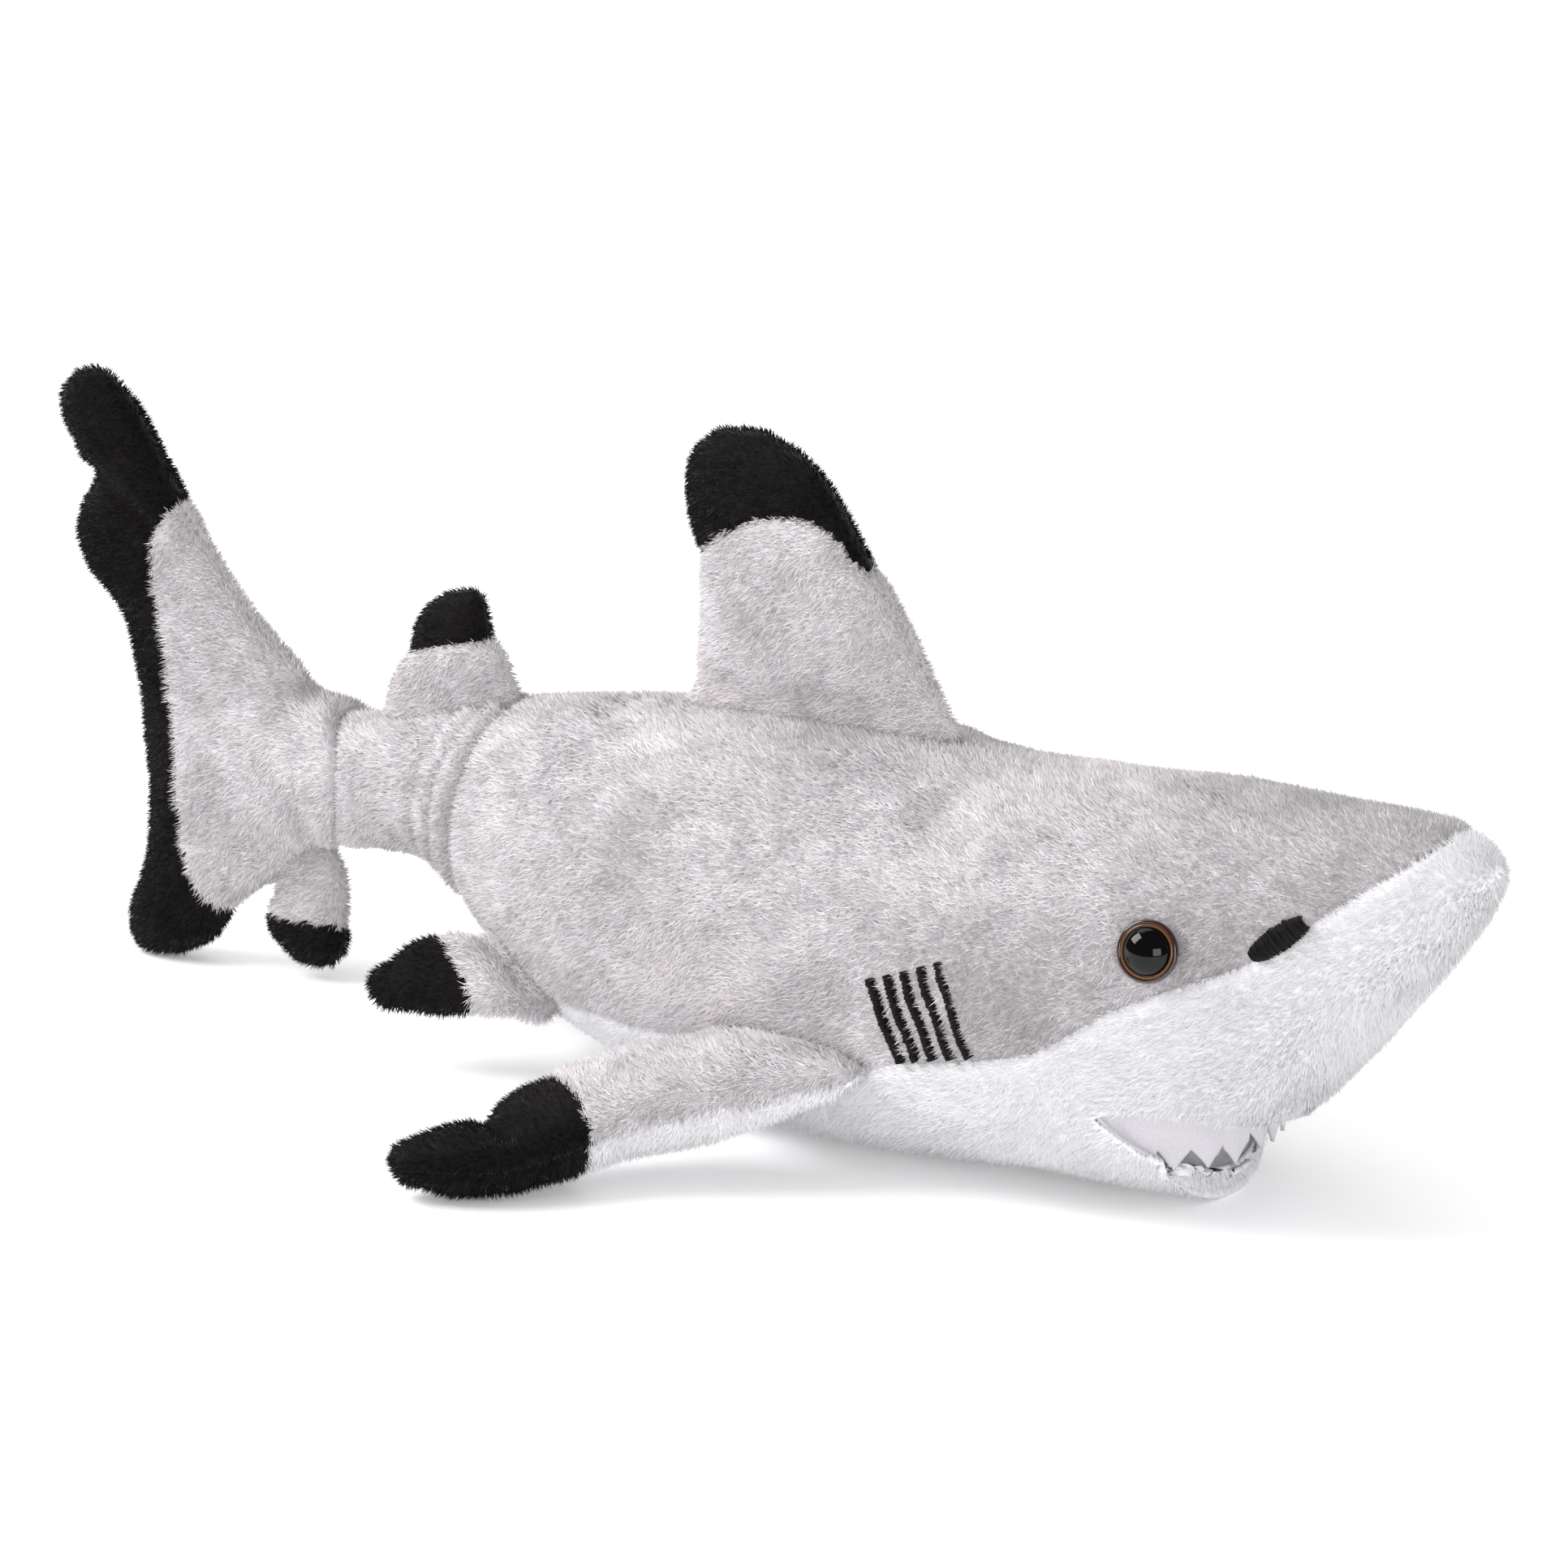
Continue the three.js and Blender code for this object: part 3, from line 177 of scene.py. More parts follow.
def trunk_pt(x, a, off=0.0):
    x, a = np.broadcast_arrays(np.asarray(x, float), np.asarray(a, float))
    w, zt, zb, zw, nt, nb = np.moveaxis(body_at(x), -1, 0)
    c, s = np.cos(a), np.sin(a)
    even_zb = np.interp(x, [98, 107, 112, 118, 124], [2.4, 1.8, 4.0, 9.0, 16.4])
    zb = np.where((s < 0) & (x > 98) & (x < 124), zb + (even_zb - zb) * (1 - step(0.40, 0.68, -s)), zb)
    n = np.where(s >= 0, nt, nb)
    k = lambda h: np.maximum(h - off, h * 0.25)
    y = k(w) * np.sign(c) * np.abs(c) ** (2 / n)
    z = zw + np.where(s >= 0, k(zt - zw), -k(zw - zb)) * np.abs(s) ** (2 / n)
    return np.stack([x, y, z], -1)


def inside_trunk(p, depth=0.0):
    """Whether points lie more than depth inside the trunk."""
    w, zt, zb, zw, nt, nb = np.moveaxis(body_at(p[:, 0]), -1, 0)
    up = p[:, 2] >= zw
    h, n = np.where(up, zt - zw, zw - zb), np.where(up, nt, nb)
    r = (np.abs(p[:, 1] / np.maximum(w - depth, 1)) ** n + np.abs((p[:, 2] - zw) / np.maximum(h - depth, 1)) ** n)
    return (r < 1) & (p[:, 0] > -121) & (p[:, 0] < 175.6 - depth)


def on_trunk(x, z, side, off=0.0):
    """Point and outward normal of the trunk at x and height z. side is -1 for the shark's right."""
    x, z = np.broadcast_arrays(np.atleast_1d(np.asarray(x, float)), np.atleast_1d(np.asarray(z, float)))
    lo, hi = np.full(x.shape, -math.pi / 2), np.full(x.shape, math.pi / 2)
    for _ in range(40):
        m = (lo + hi) / 2
        low = trunk_pt(x, m)[..., 2] < z
        lo, hi = np.where(low, m, lo), np.where(low, hi, m)
    p = trunk_pt(x, lo)
    e = 0.03
    n = unit(np.cross(trunk_pt(x, lo + e) - trunk_pt(x, lo - e), trunk_pt(x + 1, lo) - trunk_pt(x - 1, lo)))
    n = np.where(n[..., 1:2] < 0, -n, n)
    if side < 0:
        p, n = p * [1, -1, 1], n * [1, -1, 1]
    return p + n * -off, n


# ---- meshes ---------------------------------------------------------------------------------------------------


class Skin:
    """Vertices (mm), faces (rows of 4, the last two alike for a triangle), a kind per face, and vertex normals."""

    def __init__(self, V, F, kind=None, uv=None):
        self.V, self.F = np.asarray(V, float), np.asarray(F, np.int64)
        self.kind = np.zeros(len(self.F), np.int64) if kind is None else np.asarray(kind)
        self.uv = uv

    def normals(self):
        V, F = self.V, self.F
        n = np.cross(V[F[:, 2]] - V[F[:, 0]], V[F[:, 3]] - V[F[:, 1]])
        tri = F[:, 2] == F[:, 3]
        n[tri] = np.cross(V[F[tri, 1]] - V[F[tri, 0]], V[F[tri, 2]] - V[F[tri, 0]])
        out = np.zeros_like(V)
        for k in range(4):
            np.add.at(out, F[:, k], n)
        return unit(out)

    def centres(self):
        return self.V[self.F].mean(1)


def turned(F):
    """The same faces, each wound the other way."""
    out = F[:, ::-1].copy()
    tri = out[:, 0] == out[:, 1]
    out[tri] = np.stack([out[tri, 1], out[tri, 2], out[tri, 3], out[tri, 3]], -1)
    return out


def grid(P, pole_a=None, pole_b=None):
    """A closed tube over rings P (stations, points round, 3), with a pole or a fan at each end, facing out."""
    n, m = P.shape[:2]
    idx = np.arange(n * m).reshape(n, m)
    a, b, c, d = idx[:-1], np.roll(idx[:-1], -1, 1), np.roll(idx[1:], -1, 1), idx[1:]
    F = [np.stack([a, b, c, d], -1).reshape(-1, 4)]
    V = [P.reshape(-1, 3)]
    k = n * m
    for ring, pole, flip in ((idx[0], pole_a, True), (idx[-1], pole_b, False)):
        q = V[0][ring].mean(0) if pole is None else np.asarray(pole, float)
        V.append(q[None])
        r = np.roll(ring, -1)
        t = np.stack([np.full(m, k), r, ring, ring] if flip else [np.full(m, k), ring, r, r], -1)
        F.append(t)
        k += 1
    V, F = np.concatenate(V), np.concatenate(F)
    s = Skin(V, F)
    A, B, C = V[F[:, 0]], V[F[:, 1]], V[F[:, 2]]
    vol = np.einsum("ij,ij->", A, np.cross(B, C))
    D = V[F[:, 3]]
    vol += np.einsum("ij,ij->", A, np.cross(C, D))
    if vol < 0:
        s.F = turned(s.F)
    return s


def thick(s, t):
    """Turns an open sheet into a closed shell of thickness t below it."""
    n = s.normals()
    k = len(s.V)
    V = np.concatenate([s.V, s.V - n * t])
    tri = s.F[:, 2] == s.F[:, 3]
    back = s.F[:, ::-1] + k
    back[tri] = np.stack([s.F[tri, 2], s.F[tri, 1], s.F[tri, 0], s.F[tri, 0]], -1) + k
    e = np.concatenate([np.stack([s.F[:, i], s.F[:, (i + 1) % 4]], -1) for i in range(4)])
    e = e[e[:, 0] != e[:, 1]]
    key = e.min(1) * (k + 1) + e.max(1)
    u, inv, cnt = np.unique(key, return_inverse=True, return_counts=True)
    rim = e[cnt[inv] == 1]
    side = np.stack([rim[:, 1], rim[:, 0], rim[:, 0] + k, rim[:, 1] + k], -1)
    kinds = np.concatenate([s.kind, s.kind, np.zeros(len(side), np.int64)])
    if len(side):
        kinds[-len(side):] = s.kind[0] if len(s.kind) else 0
        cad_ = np.concatenate([s.kind] * 4)[(np.concatenate([s.F[:, i] != s.F[:, (i + 1) % 4] for i in range(4)]))]
        kinds[-len(side):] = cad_[cnt[inv] == 1]
    return Skin(V, np.concatenate([s.F, back, side]), kinds)


def build(name, s, mats, smooth=True, normals=None, bake_uv=None):
    """Makes the Blender mesh object of a skin, in metres, in the row frame."""
    F = s.F
    tri = F[:, 2] == F[:, 3]
    size = np.where(tri, 3, 4)
    start = np.concatenate([[0], np.cumsum(size)[:-1]])
    flat = F[np.arange(4)[None] < size[:, None]]
    me = bpy.data.meshes.new(name)
    me.vertices.add(len(s.V))
    me.vertices.foreach_set("co", ((s.V + SHIFT) * MM).astype(np.float32).ravel())
    me.loops.add(len(flat))
    me.loops.foreach_set("vertex_index", flat.astype(np.int32))
    me.polygons.add(len(F))
    me.polygons.foreach_set("loop_start", start.astype(np.int32))
    me.polygons.foreach_set("material_index", s.kind.astype(np.int32))
    me.update(calc_edges=True)
    me.polygons.foreach_set("use_smooth", np.full(len(F), smooth))
    if bake_uv is not None:
        layer = me.uv_layers.new(name="OFBake")
        layer.data.foreach_set("uv", bake_uv[flat].astype(np.float32).ravel())
    for m in mats:
        me.materials.append(m)
    if normals is not None:
        me.normals_split_custom_set_from_vertices(normals.astype(np.float32))
    ob = bpy.data.objects.new(name, me)
    bpy.context.scene.collection.objects.link(ob)
    return ob


# ---- materials ------------------------------------------------------------------------------------------------


def principled(name, **sockets):
    m = bpy.data.materials.new(name)
    m.use_nodes = True
    b = m.node_tree.nodes["Principled BSDF"]
    for k, v in sockets.items():
        b.inputs[k.replace("_", " ")].default_value = v
    return m, m.node_tree, b


def lin(r, g, b, gain=1.0):
    f = lambda c: ((c / 255 + 0.055) / 1.055) ** 2.4 if c > 10 else c / 255 / 12.92
    return (f(r) * gain, f(g) * gain, f(b) * gain, 1.0)


def pile_shades(name, rgb, gains, rough, sheen, spec=0.2):
    out = []
    for i, g in enumerate(gains):
        m, _, b = principled(f"{name}_{i + 1}", Roughness=rough, Sheen_Weight=sheen, Sheen_Roughness=0.45, Specular_IOR_Level=spec)
        b.inputs["Base Color"].default_value = lin(*rgb, gain=g)
        b.inputs["Sheen Tint"].default_value = (1, 1, 1, 1)
        out.append(m)
    return out


def cloth(name, rgb, depth, gain=1.0, scale=900.0, bump=0.35):
    """The knitted backing and the crushed pile seen between the tufts."""
    m, nt, b = principled(name, Roughness=0.95, Sheen_Weight=0.25, Sheen_Roughness=0.5, Specular_IOR_Level=0.15)
    N, L = nt.nodes, nt.links
    co = N.new("ShaderNodeTexCoord")
    fine, wide = N.new("ShaderNodeTexNoise"), N.new("ShaderNodeTexNoise")
    fine.inputs["Scale"].default_value, fine.inputs["Detail"].default_value = scale, 3
    wide.inputs["Scale"].default_value, wide.inputs["Detail"].default_value = 60, 2
    ramp = N.new("ShaderNodeValToRGB")
    c = lin(*rgb, gain=gain)
    ramp.color_ramp.elements[0].position, ramp.color_ramp.elements[1].position = 0.3, 0.7
    ramp.color_ramp.elements[0].color = tuple(v * (1 - depth) for v in c[:3]) + (1,)
    ramp.color_ramp.elements[1].color = tuple(min(1, v * (1 + depth * 0.4)) for v in c[:3]) + (1,)
    mixf = N.new("ShaderNodeMath")
    mixf.operation = "MULTIPLY_ADD"
    mixf.inputs[1].default_value, mixf.inputs[2].default_value = 0.6, 0.2
    add = N.new("ShaderNodeMath")
    add.operation = "MULTIPLY_ADD"
    add.inputs[1].default_value = 0.4
    L.new(co.outputs["Object"], fine.inputs["Vector"])
    L.new(co.outputs["Object"], wide.inputs["Vector"])
    L.new(fine.outputs["Fac"], mixf.inputs[0])
    L.new(wide.outputs["Fac"], add.inputs[0])
    L.new(mixf.outputs[0], add.inputs[2])
    sub = N.new("ShaderNodeMath")
    sub.operation = "SUBTRACT"
    sub.inputs[1].default_value = 0.2
    L.new(add.outputs[0], sub.inputs[0])
    L.new(sub.outputs[0], ramp.inputs["Fac"])
    L.new(ramp.outputs["Color"], b.inputs["Base Color"])
    bp = N.new("ShaderNodeBump")
    bp.inputs["Strength"].default_value, bp.inputs["Distance"].default_value = bump, 0.0006
    L.new(fine.outputs["Fac"], bp.inputs["Height"])
    L.new(bp.outputs["Normal"], b.inputs["Normal"])
    return m


GREY, WHITE, BLACK = (203, 198, 201), (236, 235, 238), (17, 14, 16)
grey_pile = pile_shades("grey_pile", GREY, (0.60, 0.80, 0.98, 1.15, 1.32), 0.8, 0.25)
white_pile = pile_shades("white_pile", WHITE, (0.93, 1.00, 1.07), 0.85, 0.35)
black_pile = pile_shades("black_pile", BLACK, (0.35, 0.8, 2.2), 0.75, 0.0, 0.12)
PILES = [grey_pile, white_pile, black_pile]
BASES = [cloth("grey_backing", GREY, 0.30, 0.86), cloth("white_backing", WHITE, 0.12, 0.95), cloth("black_backing", BLACK, 0.4, 0.7)]

# ---- pile -----------------------------------------------------------------------------------------------------
PILE_PIECES = []


def nap_of(p, n):
    """Which way the pile lies: towards the tail and down, brushed this way and that in patches."""
    base = np.array([-0.85, 0.0, -0.5])
    t = base[None] - n * (n @ base)[:, None]
    t = unit(t + 1e-4)
    b = np.cross(n, t)
    turn = 0.75 * noise(p, 22, 5) + 0.65 * noise(p, 7.5, 6)
    return t, b, turn


def pile(name, s, density, length, rules=None, lean=0.95, radius=0.185, seed=1, nap=nap_of, most=46000, jitter=0.55, tint=None):
    """Short closed tufts over a skin, in pieces small enough to keep. rules(p, n) gives (keep, length factor)."""
    rng = np.random.default_rng(seed)
    V, F, N = s.V, s.F, s.normals()
    A, B, C, D = (V[F[:, k]] for k in range(4))
    a1 = np.linalg.norm(np.cross(B - A, C - A), axis=1) / 2
    a2 = np.linalg.norm(np.cross(C - A, D - A), axis=1) / 2
    area = a1 + a2
    want = area * density
    count = np.floor(want + rng.random(len(want))).astype(int)
    f = np.repeat(np.arange(len(F)), count)
    first = rng.random(len(f)) * area[f] < a1[f]
    u, v = rng.random(len(f)), rng.random(len(f))
    over = u + v > 1
    u[over], v[over] = 1 - u[over], 1 - v[over]
    i1 = np.where(first, F[f, 1], F[f, 2])
    i2 = np.where(first, F[f, 2], F[f, 3])
    i0 = F[f, 0]
    p = V[i0] * (1 - u - v)[:, None] + V[i1] * u[:, None] + V[i2] * v[:, None]
    n = unit(N[i0] * (1 - u - v)[:, None] + N[i1] * u[:, None] + N[i2] * v[:, None])
    kind = s.kind[f]
    long = np.ones(len(p))
    if rules is not None:
        keep, long = rules(p, n)
        p, n, kind, long = p[keep], n[keep], kind[keep], long[keep]
    k = len(p)
    t, b, turn = nap(p, n)
    ang = turn + rng.normal(0, jitter, k)
    t = t * np.cos(ang)[:, None] + b * np.sin(ang)[:, None]
    le = np.clip(lean + 0.16 * noise(p, 11, 9) + rng.normal(0, 0.16, k), 0.25, 1.35)
    d = n * np.cos(le)[:, None] + t * np.sin(le)[:, None]
    tip = p + d * (length * long * (0.75 + 0.5 * rng.random(k)))[:, None]
    r = radius * (0.75 + 0.5 * rng.random(k))
    e1 = unit(np.cross(n, d) + 1e-6)
    e2 = np.cross(n, e1)
    root = p - n * 0.35
    rot = rng.random(k) * 2.1
    vs, ns = [], []
    for q in range(3):
        w = rot + q * 2 * math.pi / 3
        o = e1 * np.cos(w)[:, None] + e2 * np.sin(w)[:, None]
        vs.append(root + o * r[:, None])
        ns.append(unit(n + o * 0.35))
    vs.append(tip)
    ns.append(unit(n * 0.75 + d * 0.35 + rng.normal(0, 0.16, (k, 3))))
    floor = 0.281 + 0.12
    for q in range(4):
        vs[q][:, 2] = np.maximum(vs[q][:, 2], floor + (0.25 * rng.random(k) if q == 3 else 0.3))
    allV = np.stack(vs, 1)
    allN = np.stack(ns, 1)
    tone = 0.55 + 0.15 * noise(p, 19, 21) + 0.20 * noise(p, 5, 22) + rng.normal(0, 0.26, k)
    # tint, where given, shifts the tone: on the trunk it adds painted shade and painted light
    if tint is not None:
        tone = tone + tint(p)
    # each kind has its own shades: a slot per shade
    slots, mats = np.zeros(k, int), []
    for kd in range(3):
        here = kind == kd
        if not here.any():
            continue
        sh = PILES[kd]
        slots[here] = len(mats) + np.clip((tone[here] * len(sh)).astype(int), 0, len(sh) - 1)
        mats += sh
    order = np.argsort(p[:, 0] + 0.001 * p[:, 2])
    parts = max(1, int(math.ceil(k / most)))
    made = []
    for i, sel in enumerate(np.array_split(order, parts)):
        m = len(sel)
        base = np.arange(m)[:, None] * 4
        tri = np.array([[0, 1, 3], [1, 2, 3], [2, 0, 3], [0, 2, 1]])
        Ft = (base[:, :, None] + tri[None]).reshape(-1, 3)
        Ft = np.concatenate([Ft, Ft[:, 2:]], 1)
        sk = Skin(allV[sel].reshape(-1, 3), Ft, np.repeat(slots[sel], 4))
        ob = build(name + (f"_{i + 1}" if parts > 1 else ""), sk, mats, normals=allN[sel].reshape(-1, 3))
        made.append(ob)
    PILE_PIECES.extend(made)
    return made


def in_poly(x, z, poly):
    q = np.array(poly, float)
    inside = np.zeros(len(x), bool)
    for (x0, z0), (x1, z1) in zip(q, np.roll(q, -1, 0)):
        if z0 == z1:
            continue
        hit = ((z0 > z) != (z1 > z)) & (x < (x1 - x0) * (z - z0) / (z1 - z0) + x0)
        inside ^= hit
    return inside


def poly_near(x, z, poly):
    """Nearest point on the outline, and how far it is."""
    q = np.array(poly, float)
    best, bx, bz = np.full(len(x), 1e9), x.copy(), z.copy()
    for (x0, z0), (x1, z1) in zip(q, np.roll(q, -1, 0)):
        dx, dz = x1 - x0, z1 - z0
        t = np.clip(((x - x0) * dx + (z - z0) * dz) / (dx * dx + dz * dz), 0, 1)
        px, pz = x0 + t * dx, z0 + t * dz
        d = np.hypot(x - px, z - pz)
        c = d < best
        best[c], bx[c], bz[c] = d[c], px[c], pz[c]
    return best, bx, bz


def P3(*v):
    """A point in the row frame, in metres, from unshifted millimetres."""
    return tuple(float(c) for c in (np.array(v, float) + SHIFT) * MM)


def yawed(p):
    p = np.asarray(p, float)
    c, s = math.cos(TAIL_YAW), math.sin(TAIL_YAW)
    dx = p[..., 0] - TAIL_X
    return np.stack([TAIL_X + dx * c - p[..., 1] * s, dx * s + p[..., 1] * c, p[..., 2]], -1)


def unyawed(p):
    c, s = math.cos(TAIL_YAW), math.sin(TAIL_YAW)
    dx = p[..., 0] - TAIL_X
    return np.stack([TAIL_X + dx * c + p[..., 1] * s, -dx * s + p[..., 1] * c, p[..., 2]], -1)


# ---- camera, light, floor -------------------------------------------------------------------------------------
target = Vector(P3(0, 0, 70))
az, el = math.radians(35), math.radians(17)
back = Vector((math.sin(az) * math.cos(el), -math.cos(az) * math.cos(el), math.sin(el)))
cam = bpy.data.objects.new("camera", bpy.data.cameras.new("camera"))
cam.data.sensor_width, cam.data.lens = 36, 132.11
cam.location = target + back * 1.25
cam.rotation_mode = "QUATERNION"
cam.rotation_quaternion = (-back).to_track_quat("-Z", "Y")
bpy.context.scene.collection.objects.link(cam)
bpy.context.scene.camera = cam


def area(name, place, size, power, look=(0, 0, 0.05), colour=(1, 1, 1)):
    l = bpy.data.lights.new(name, "AREA")
    l.shape, l.size, l.size_y, l.energy, l.color = "RECTANGLE", size[0], size[1], power, colour
    o = bpy.data.objects.new(name, l)
    o.location = place
    o.rotation_mode = "QUATERNION"
    o.rotation_quaternion = (Vector(look) - Vector(place)).to_track_quat("-Z", "Y")
    bpy.context.scene.collection.objects.link(o)
    return o


area("key", (-1.2, -0.75, 1.3), (1.15, 0.95), 33)
area("fill", (1.15, -0.95, 0.42), (0.9, 0.6), 7.5)
area("top", (-0.8, 0.5, 1.5), (1.2, 1.0), 5)
world = bpy.data.worlds.new("world")
bpy.context.scene.world = world
world.use_nodes = True
WN, WL = world.node_tree.nodes, world.node_tree.links
bright = WN["Background"]
bright.inputs["Color"].default_value = (1, 1, 1, 1)
bright.inputs["Strength"].default_value = 0.80
dim, mixer, path = WN.new("ShaderNodeBackground"), WN.new("ShaderNodeMixShader"), WN.new("ShaderNodeLightPath")
dim.inputs["Color"].default_value, dim.inputs["Strength"].default_value = (1, 1, 1, 1), 0.10
WL.new(path.outputs["Is Glossy Ray"], mixer.inputs[0])
WL.new(bright.outputs[0], mixer.inputs[1])
WL.new(dim.outputs[0], mixer.inputs[2])
WL.new(mixer.outputs[0], WN["World Output"].inputs["Surface"])
bpy.context.scene.view_settings.view_transform = "Standard"
fm = bpy.data.meshes.new("floor")
fm.from_pydata([(-8, -8, 0), (8, -8, 0), (8, 8, 0), (-8, 8, 0)], [], [(0, 1, 2, 3)])
floor = bpy.data.objects.new("floor", fm)
floor_mat, _, _ = principled("floor", Roughness=0.6, Specular_IOR_Level=0.2)
floor_mat.node_tree.nodes["Principled BSDF"].inputs["Base Color"].default_value = (0.94, 0.94, 0.945, 1)
floor_mat.node_tree.nodes["Principled BSDF"].inputs["Emission Color"].default_value = (1, 1, 1, 1)
floor_mat.node_tree.nodes["Principled BSDF"].inputs["Emission Strength"].default_value = 0.19
fm.materials.append(floor_mat)
bpy.context.scene.collection.objects.link(floor)

# ---- trunk ----------------------------------------------------------------------------------------------------
N_LO, N_UP = ((54, 62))


def rings(xs):
    """Points round the trunk at each station, spaced evenly with one line along the seam, and each point's distance to it."""
    a = np.linspace(-math.pi / 2, math.pi / 2, 700)
    out, dist = [], []
    for x in xs:
        q = trunk_pt(np.full(len(a), x), a)
        L = np.concatenate([[0], np.cumsum(np.linalg.norm(np.diff(q, axis=0), axis=1))])
        ss = float(np.interp(seam_z(np.array([x]))[0], q[:, 2], L))
        far = ss < 0.02 * L[-1] or ss > 0.98 * L[-1]
        ss = min(max(ss, 0.04 * L[-1]), 0.96 * L[-1])
        to = np.concatenate([np.linspace(0, ss, N_LO + 1), np.linspace(ss, L[-1], N_UP + 1)[1:]])
        p = np.stack([np.full(len(to), x), np.interp(to, L, q[:, 1]), np.interp(to, L, q[:, 2])], -1)
        p[0, 1] = p[-1, 1] = 0
        d = np.full(len(to), 99.0) if far else np.abs(to - ss)
        out.append(np.concatenate([p, (p * [1, -1, 1])[1:-1][::-1]]))
        dist.append(np.concatenate([d, d[1:-1][::-1]]))
    return np.array(out), np.array(dist)


def seg_dist(x, z, a, b):
    (x0, z0), (x1, z1) = a, b
    t = np.clip(((x - x0) * (x1 - x0) + (z - z0) * (z1 - z0)) / ((x1 - x0) ** 2 + (z1 - z0) ** 2), 0, 1)
    return np.hypot(x - x0 - t * (x1 - x0), z - z0 - t * (z1 - z0))


def fold_x(y):
    """Where the body's cloth tucks in under the tail's."""
    return -120.2 + 7.0 * (np.minimum(np.abs(y), 15) / 15) ** 2


# soft creases in the cloth: from, to, depth, width
DENTS = [((30, 74), (44, 84), 0.9, 3.0), ((51, 84), (60, 78), 1.3, 6.0), ((-2, 62), (14, 50), 0.8, 7.0), ((84, 70), (96, 62), 0.9, 7.0), ((-44, 60), (-30, 70), 0.7, 6.0), ((20, 30), (36, 36), 0.8, 6.0)]


def trunk_relief(p, dist):
    """How far the cloth stands off the smooth trunk: stuffing lumps, the sewn seam, and creases where it bends."""
    near_floor = step(0.5, 9, p[:, 2])
    h = -1.0 + near_floor * (0.75 * noise(p, 36, 31) + 0.40 * noise(p, 15, 32))
    h -= 0.75 * np.exp(-((dist / 1.5) ** 2))
    # rings pressed in behind the body where the tail bends
    for x0, tilt, deep, wide in ((-74.2, 0.085, 2.0, 1.5), (-80.2, 0.07, 1.2, 1.3), (-87.5, 0.03, 0.6, 1.8)):
        u = p[:, 0] - (x0 + tilt * (p[:, 2] - 60) + 0.8 * noise(p, 16, 33))
        side = 0.6 + 0.4 * step(-20, 5, -p[:, 1])
        h -= side * deep * np.exp(-((u / wide) ** 2))
        h += side * deep * 0.6 * np.exp(-(((u + 3.1) / 1.9) ** 2))
    f = fold_x(p[:, 1])
    h += 0.5 * np.exp(-(((p[:, 0] - f - 3.4) / 2.4) ** 2))
    h -= 6.5 * step(0.6, 3.6, f - p[:, 0])
    for (x0, z0), (x1, z1), deep, wide in DENTS:
        h -= deep * np.exp(-((seg_dist(p[:, 0], p[:, 2], (x0, z0), (x1, z1)) / wide) ** 2)) * step(2, 12, np.abs(p[:, 1]))
    for sd in (-1, 1):
        e, _ = on_trunk(EYE_X, EYE_Z, sd)
        h -= 1.1 * np.exp(-((np.linalg.norm(p - e, axis=1) / 8.5) ** 2))
    return h


xs_rear = np.concatenate([np.arange(0, -84, -1.3), np.arange(-84, -118, -0.9), np.arange(-118, -123.4, -0.6)])
xs_front = np.concatenate([np.arange(0, 98, 1.3), np.arange(98, 113.6, 0.7), np.arange(113.6, 117.1, 0.2), np.arange(117.2, 130, 0.7), np.arange(130, 164, 1.1), np.arange(164, 174.4, 0.7), [174.5]])


def trunk_skin(xs, nose):
    R, D = rings(xs)
    if nose:
        end = R[-1].copy()
        mid = np.array([174.5, 0, 80.2])
        caps, cd = [], []
        for ph in np.radians([25, 48, 68]):
            q = mid + (end - mid) * math.cos(ph)
            q[:, 0] = 174.5 + 1.3 * math.sin(ph)
            caps.append(q)
            cd.append(np.full(len(q), 99.0))
        R, D = np.concatenate([R, caps]), np.concatenate([D, cd])
    s = grid(R, None, NOSE if nose else None)
    dist = np.concatenate([D.ravel(), [99, 99]])
    # open ends where the pieces meet: take the fans away
    n = len(R) * R.shape[1]
    drop = (s.F == n).any(1) | ((s.F == n + 1).any(1) & (not nose))
    s.F = s.F[~drop]
    s.kind = np.zeros(len(s.F), np.int64)
    return s, dist


def colour_trunk(s):
    c = s.centres()
    s.kind = np.where(c[:, 2] < seam_z(c[:, 0]), 1, 0)


def tidy(s, *arrays):
    """Drops the points that no face uses."""
    used, inv = np.unique(s.F, return_inverse=True)
    s.V, s.F = s.V[used], inv.reshape(s.F.shape)
    return [a[used] for a in arrays]


rear, rear_d = trunk_skin(xs_rear, False)
front, front_d = trunk_skin(xs_front, True)
for s in (rear, front):
    colour_trunk(s)
def jaw_round(p):
    """The lower jaw is rounder in plan than the head above it."""
    y = np.abs(p[:, 1])
    k = np.where(y < 19, (y / 19) ** 2, 1 - step(19, 31, y))
    q = p.copy()
    q[:, 0] -= 4.4 * k * step(101, 113, p[:, 0]) * (1 - step(14, 24, p[:, 2]))
    return q


# the mouth: the points near its outline move onto it, and the faces inside go
v = front.V
near, nx, nz = poly_near(v[:, 0], v[:, 2], MOUTH)
move = (near < 0.42) & (v[:, 0] > 101) & (v[:, 0] < 134) & (v[:, 2] < 31) & (np.abs(v[:, 1]) > 3)
for sd in (-1, 1):
    m = move & (np.sign(v[:, 1]) == sd)
    v[m] = on_trunk(nx[m], nz[m], sd)[0]
c = front.centres()
gone = in_poly(c[:, 0], c[:, 2], MOUTH)
front.F, front.kind = front.F[~gone], front.kind[~gone]
front_d, = tidy(front, front_d)
rear_d, = tidy(rear, rear_d)
front.V = jaw_round(front.V)
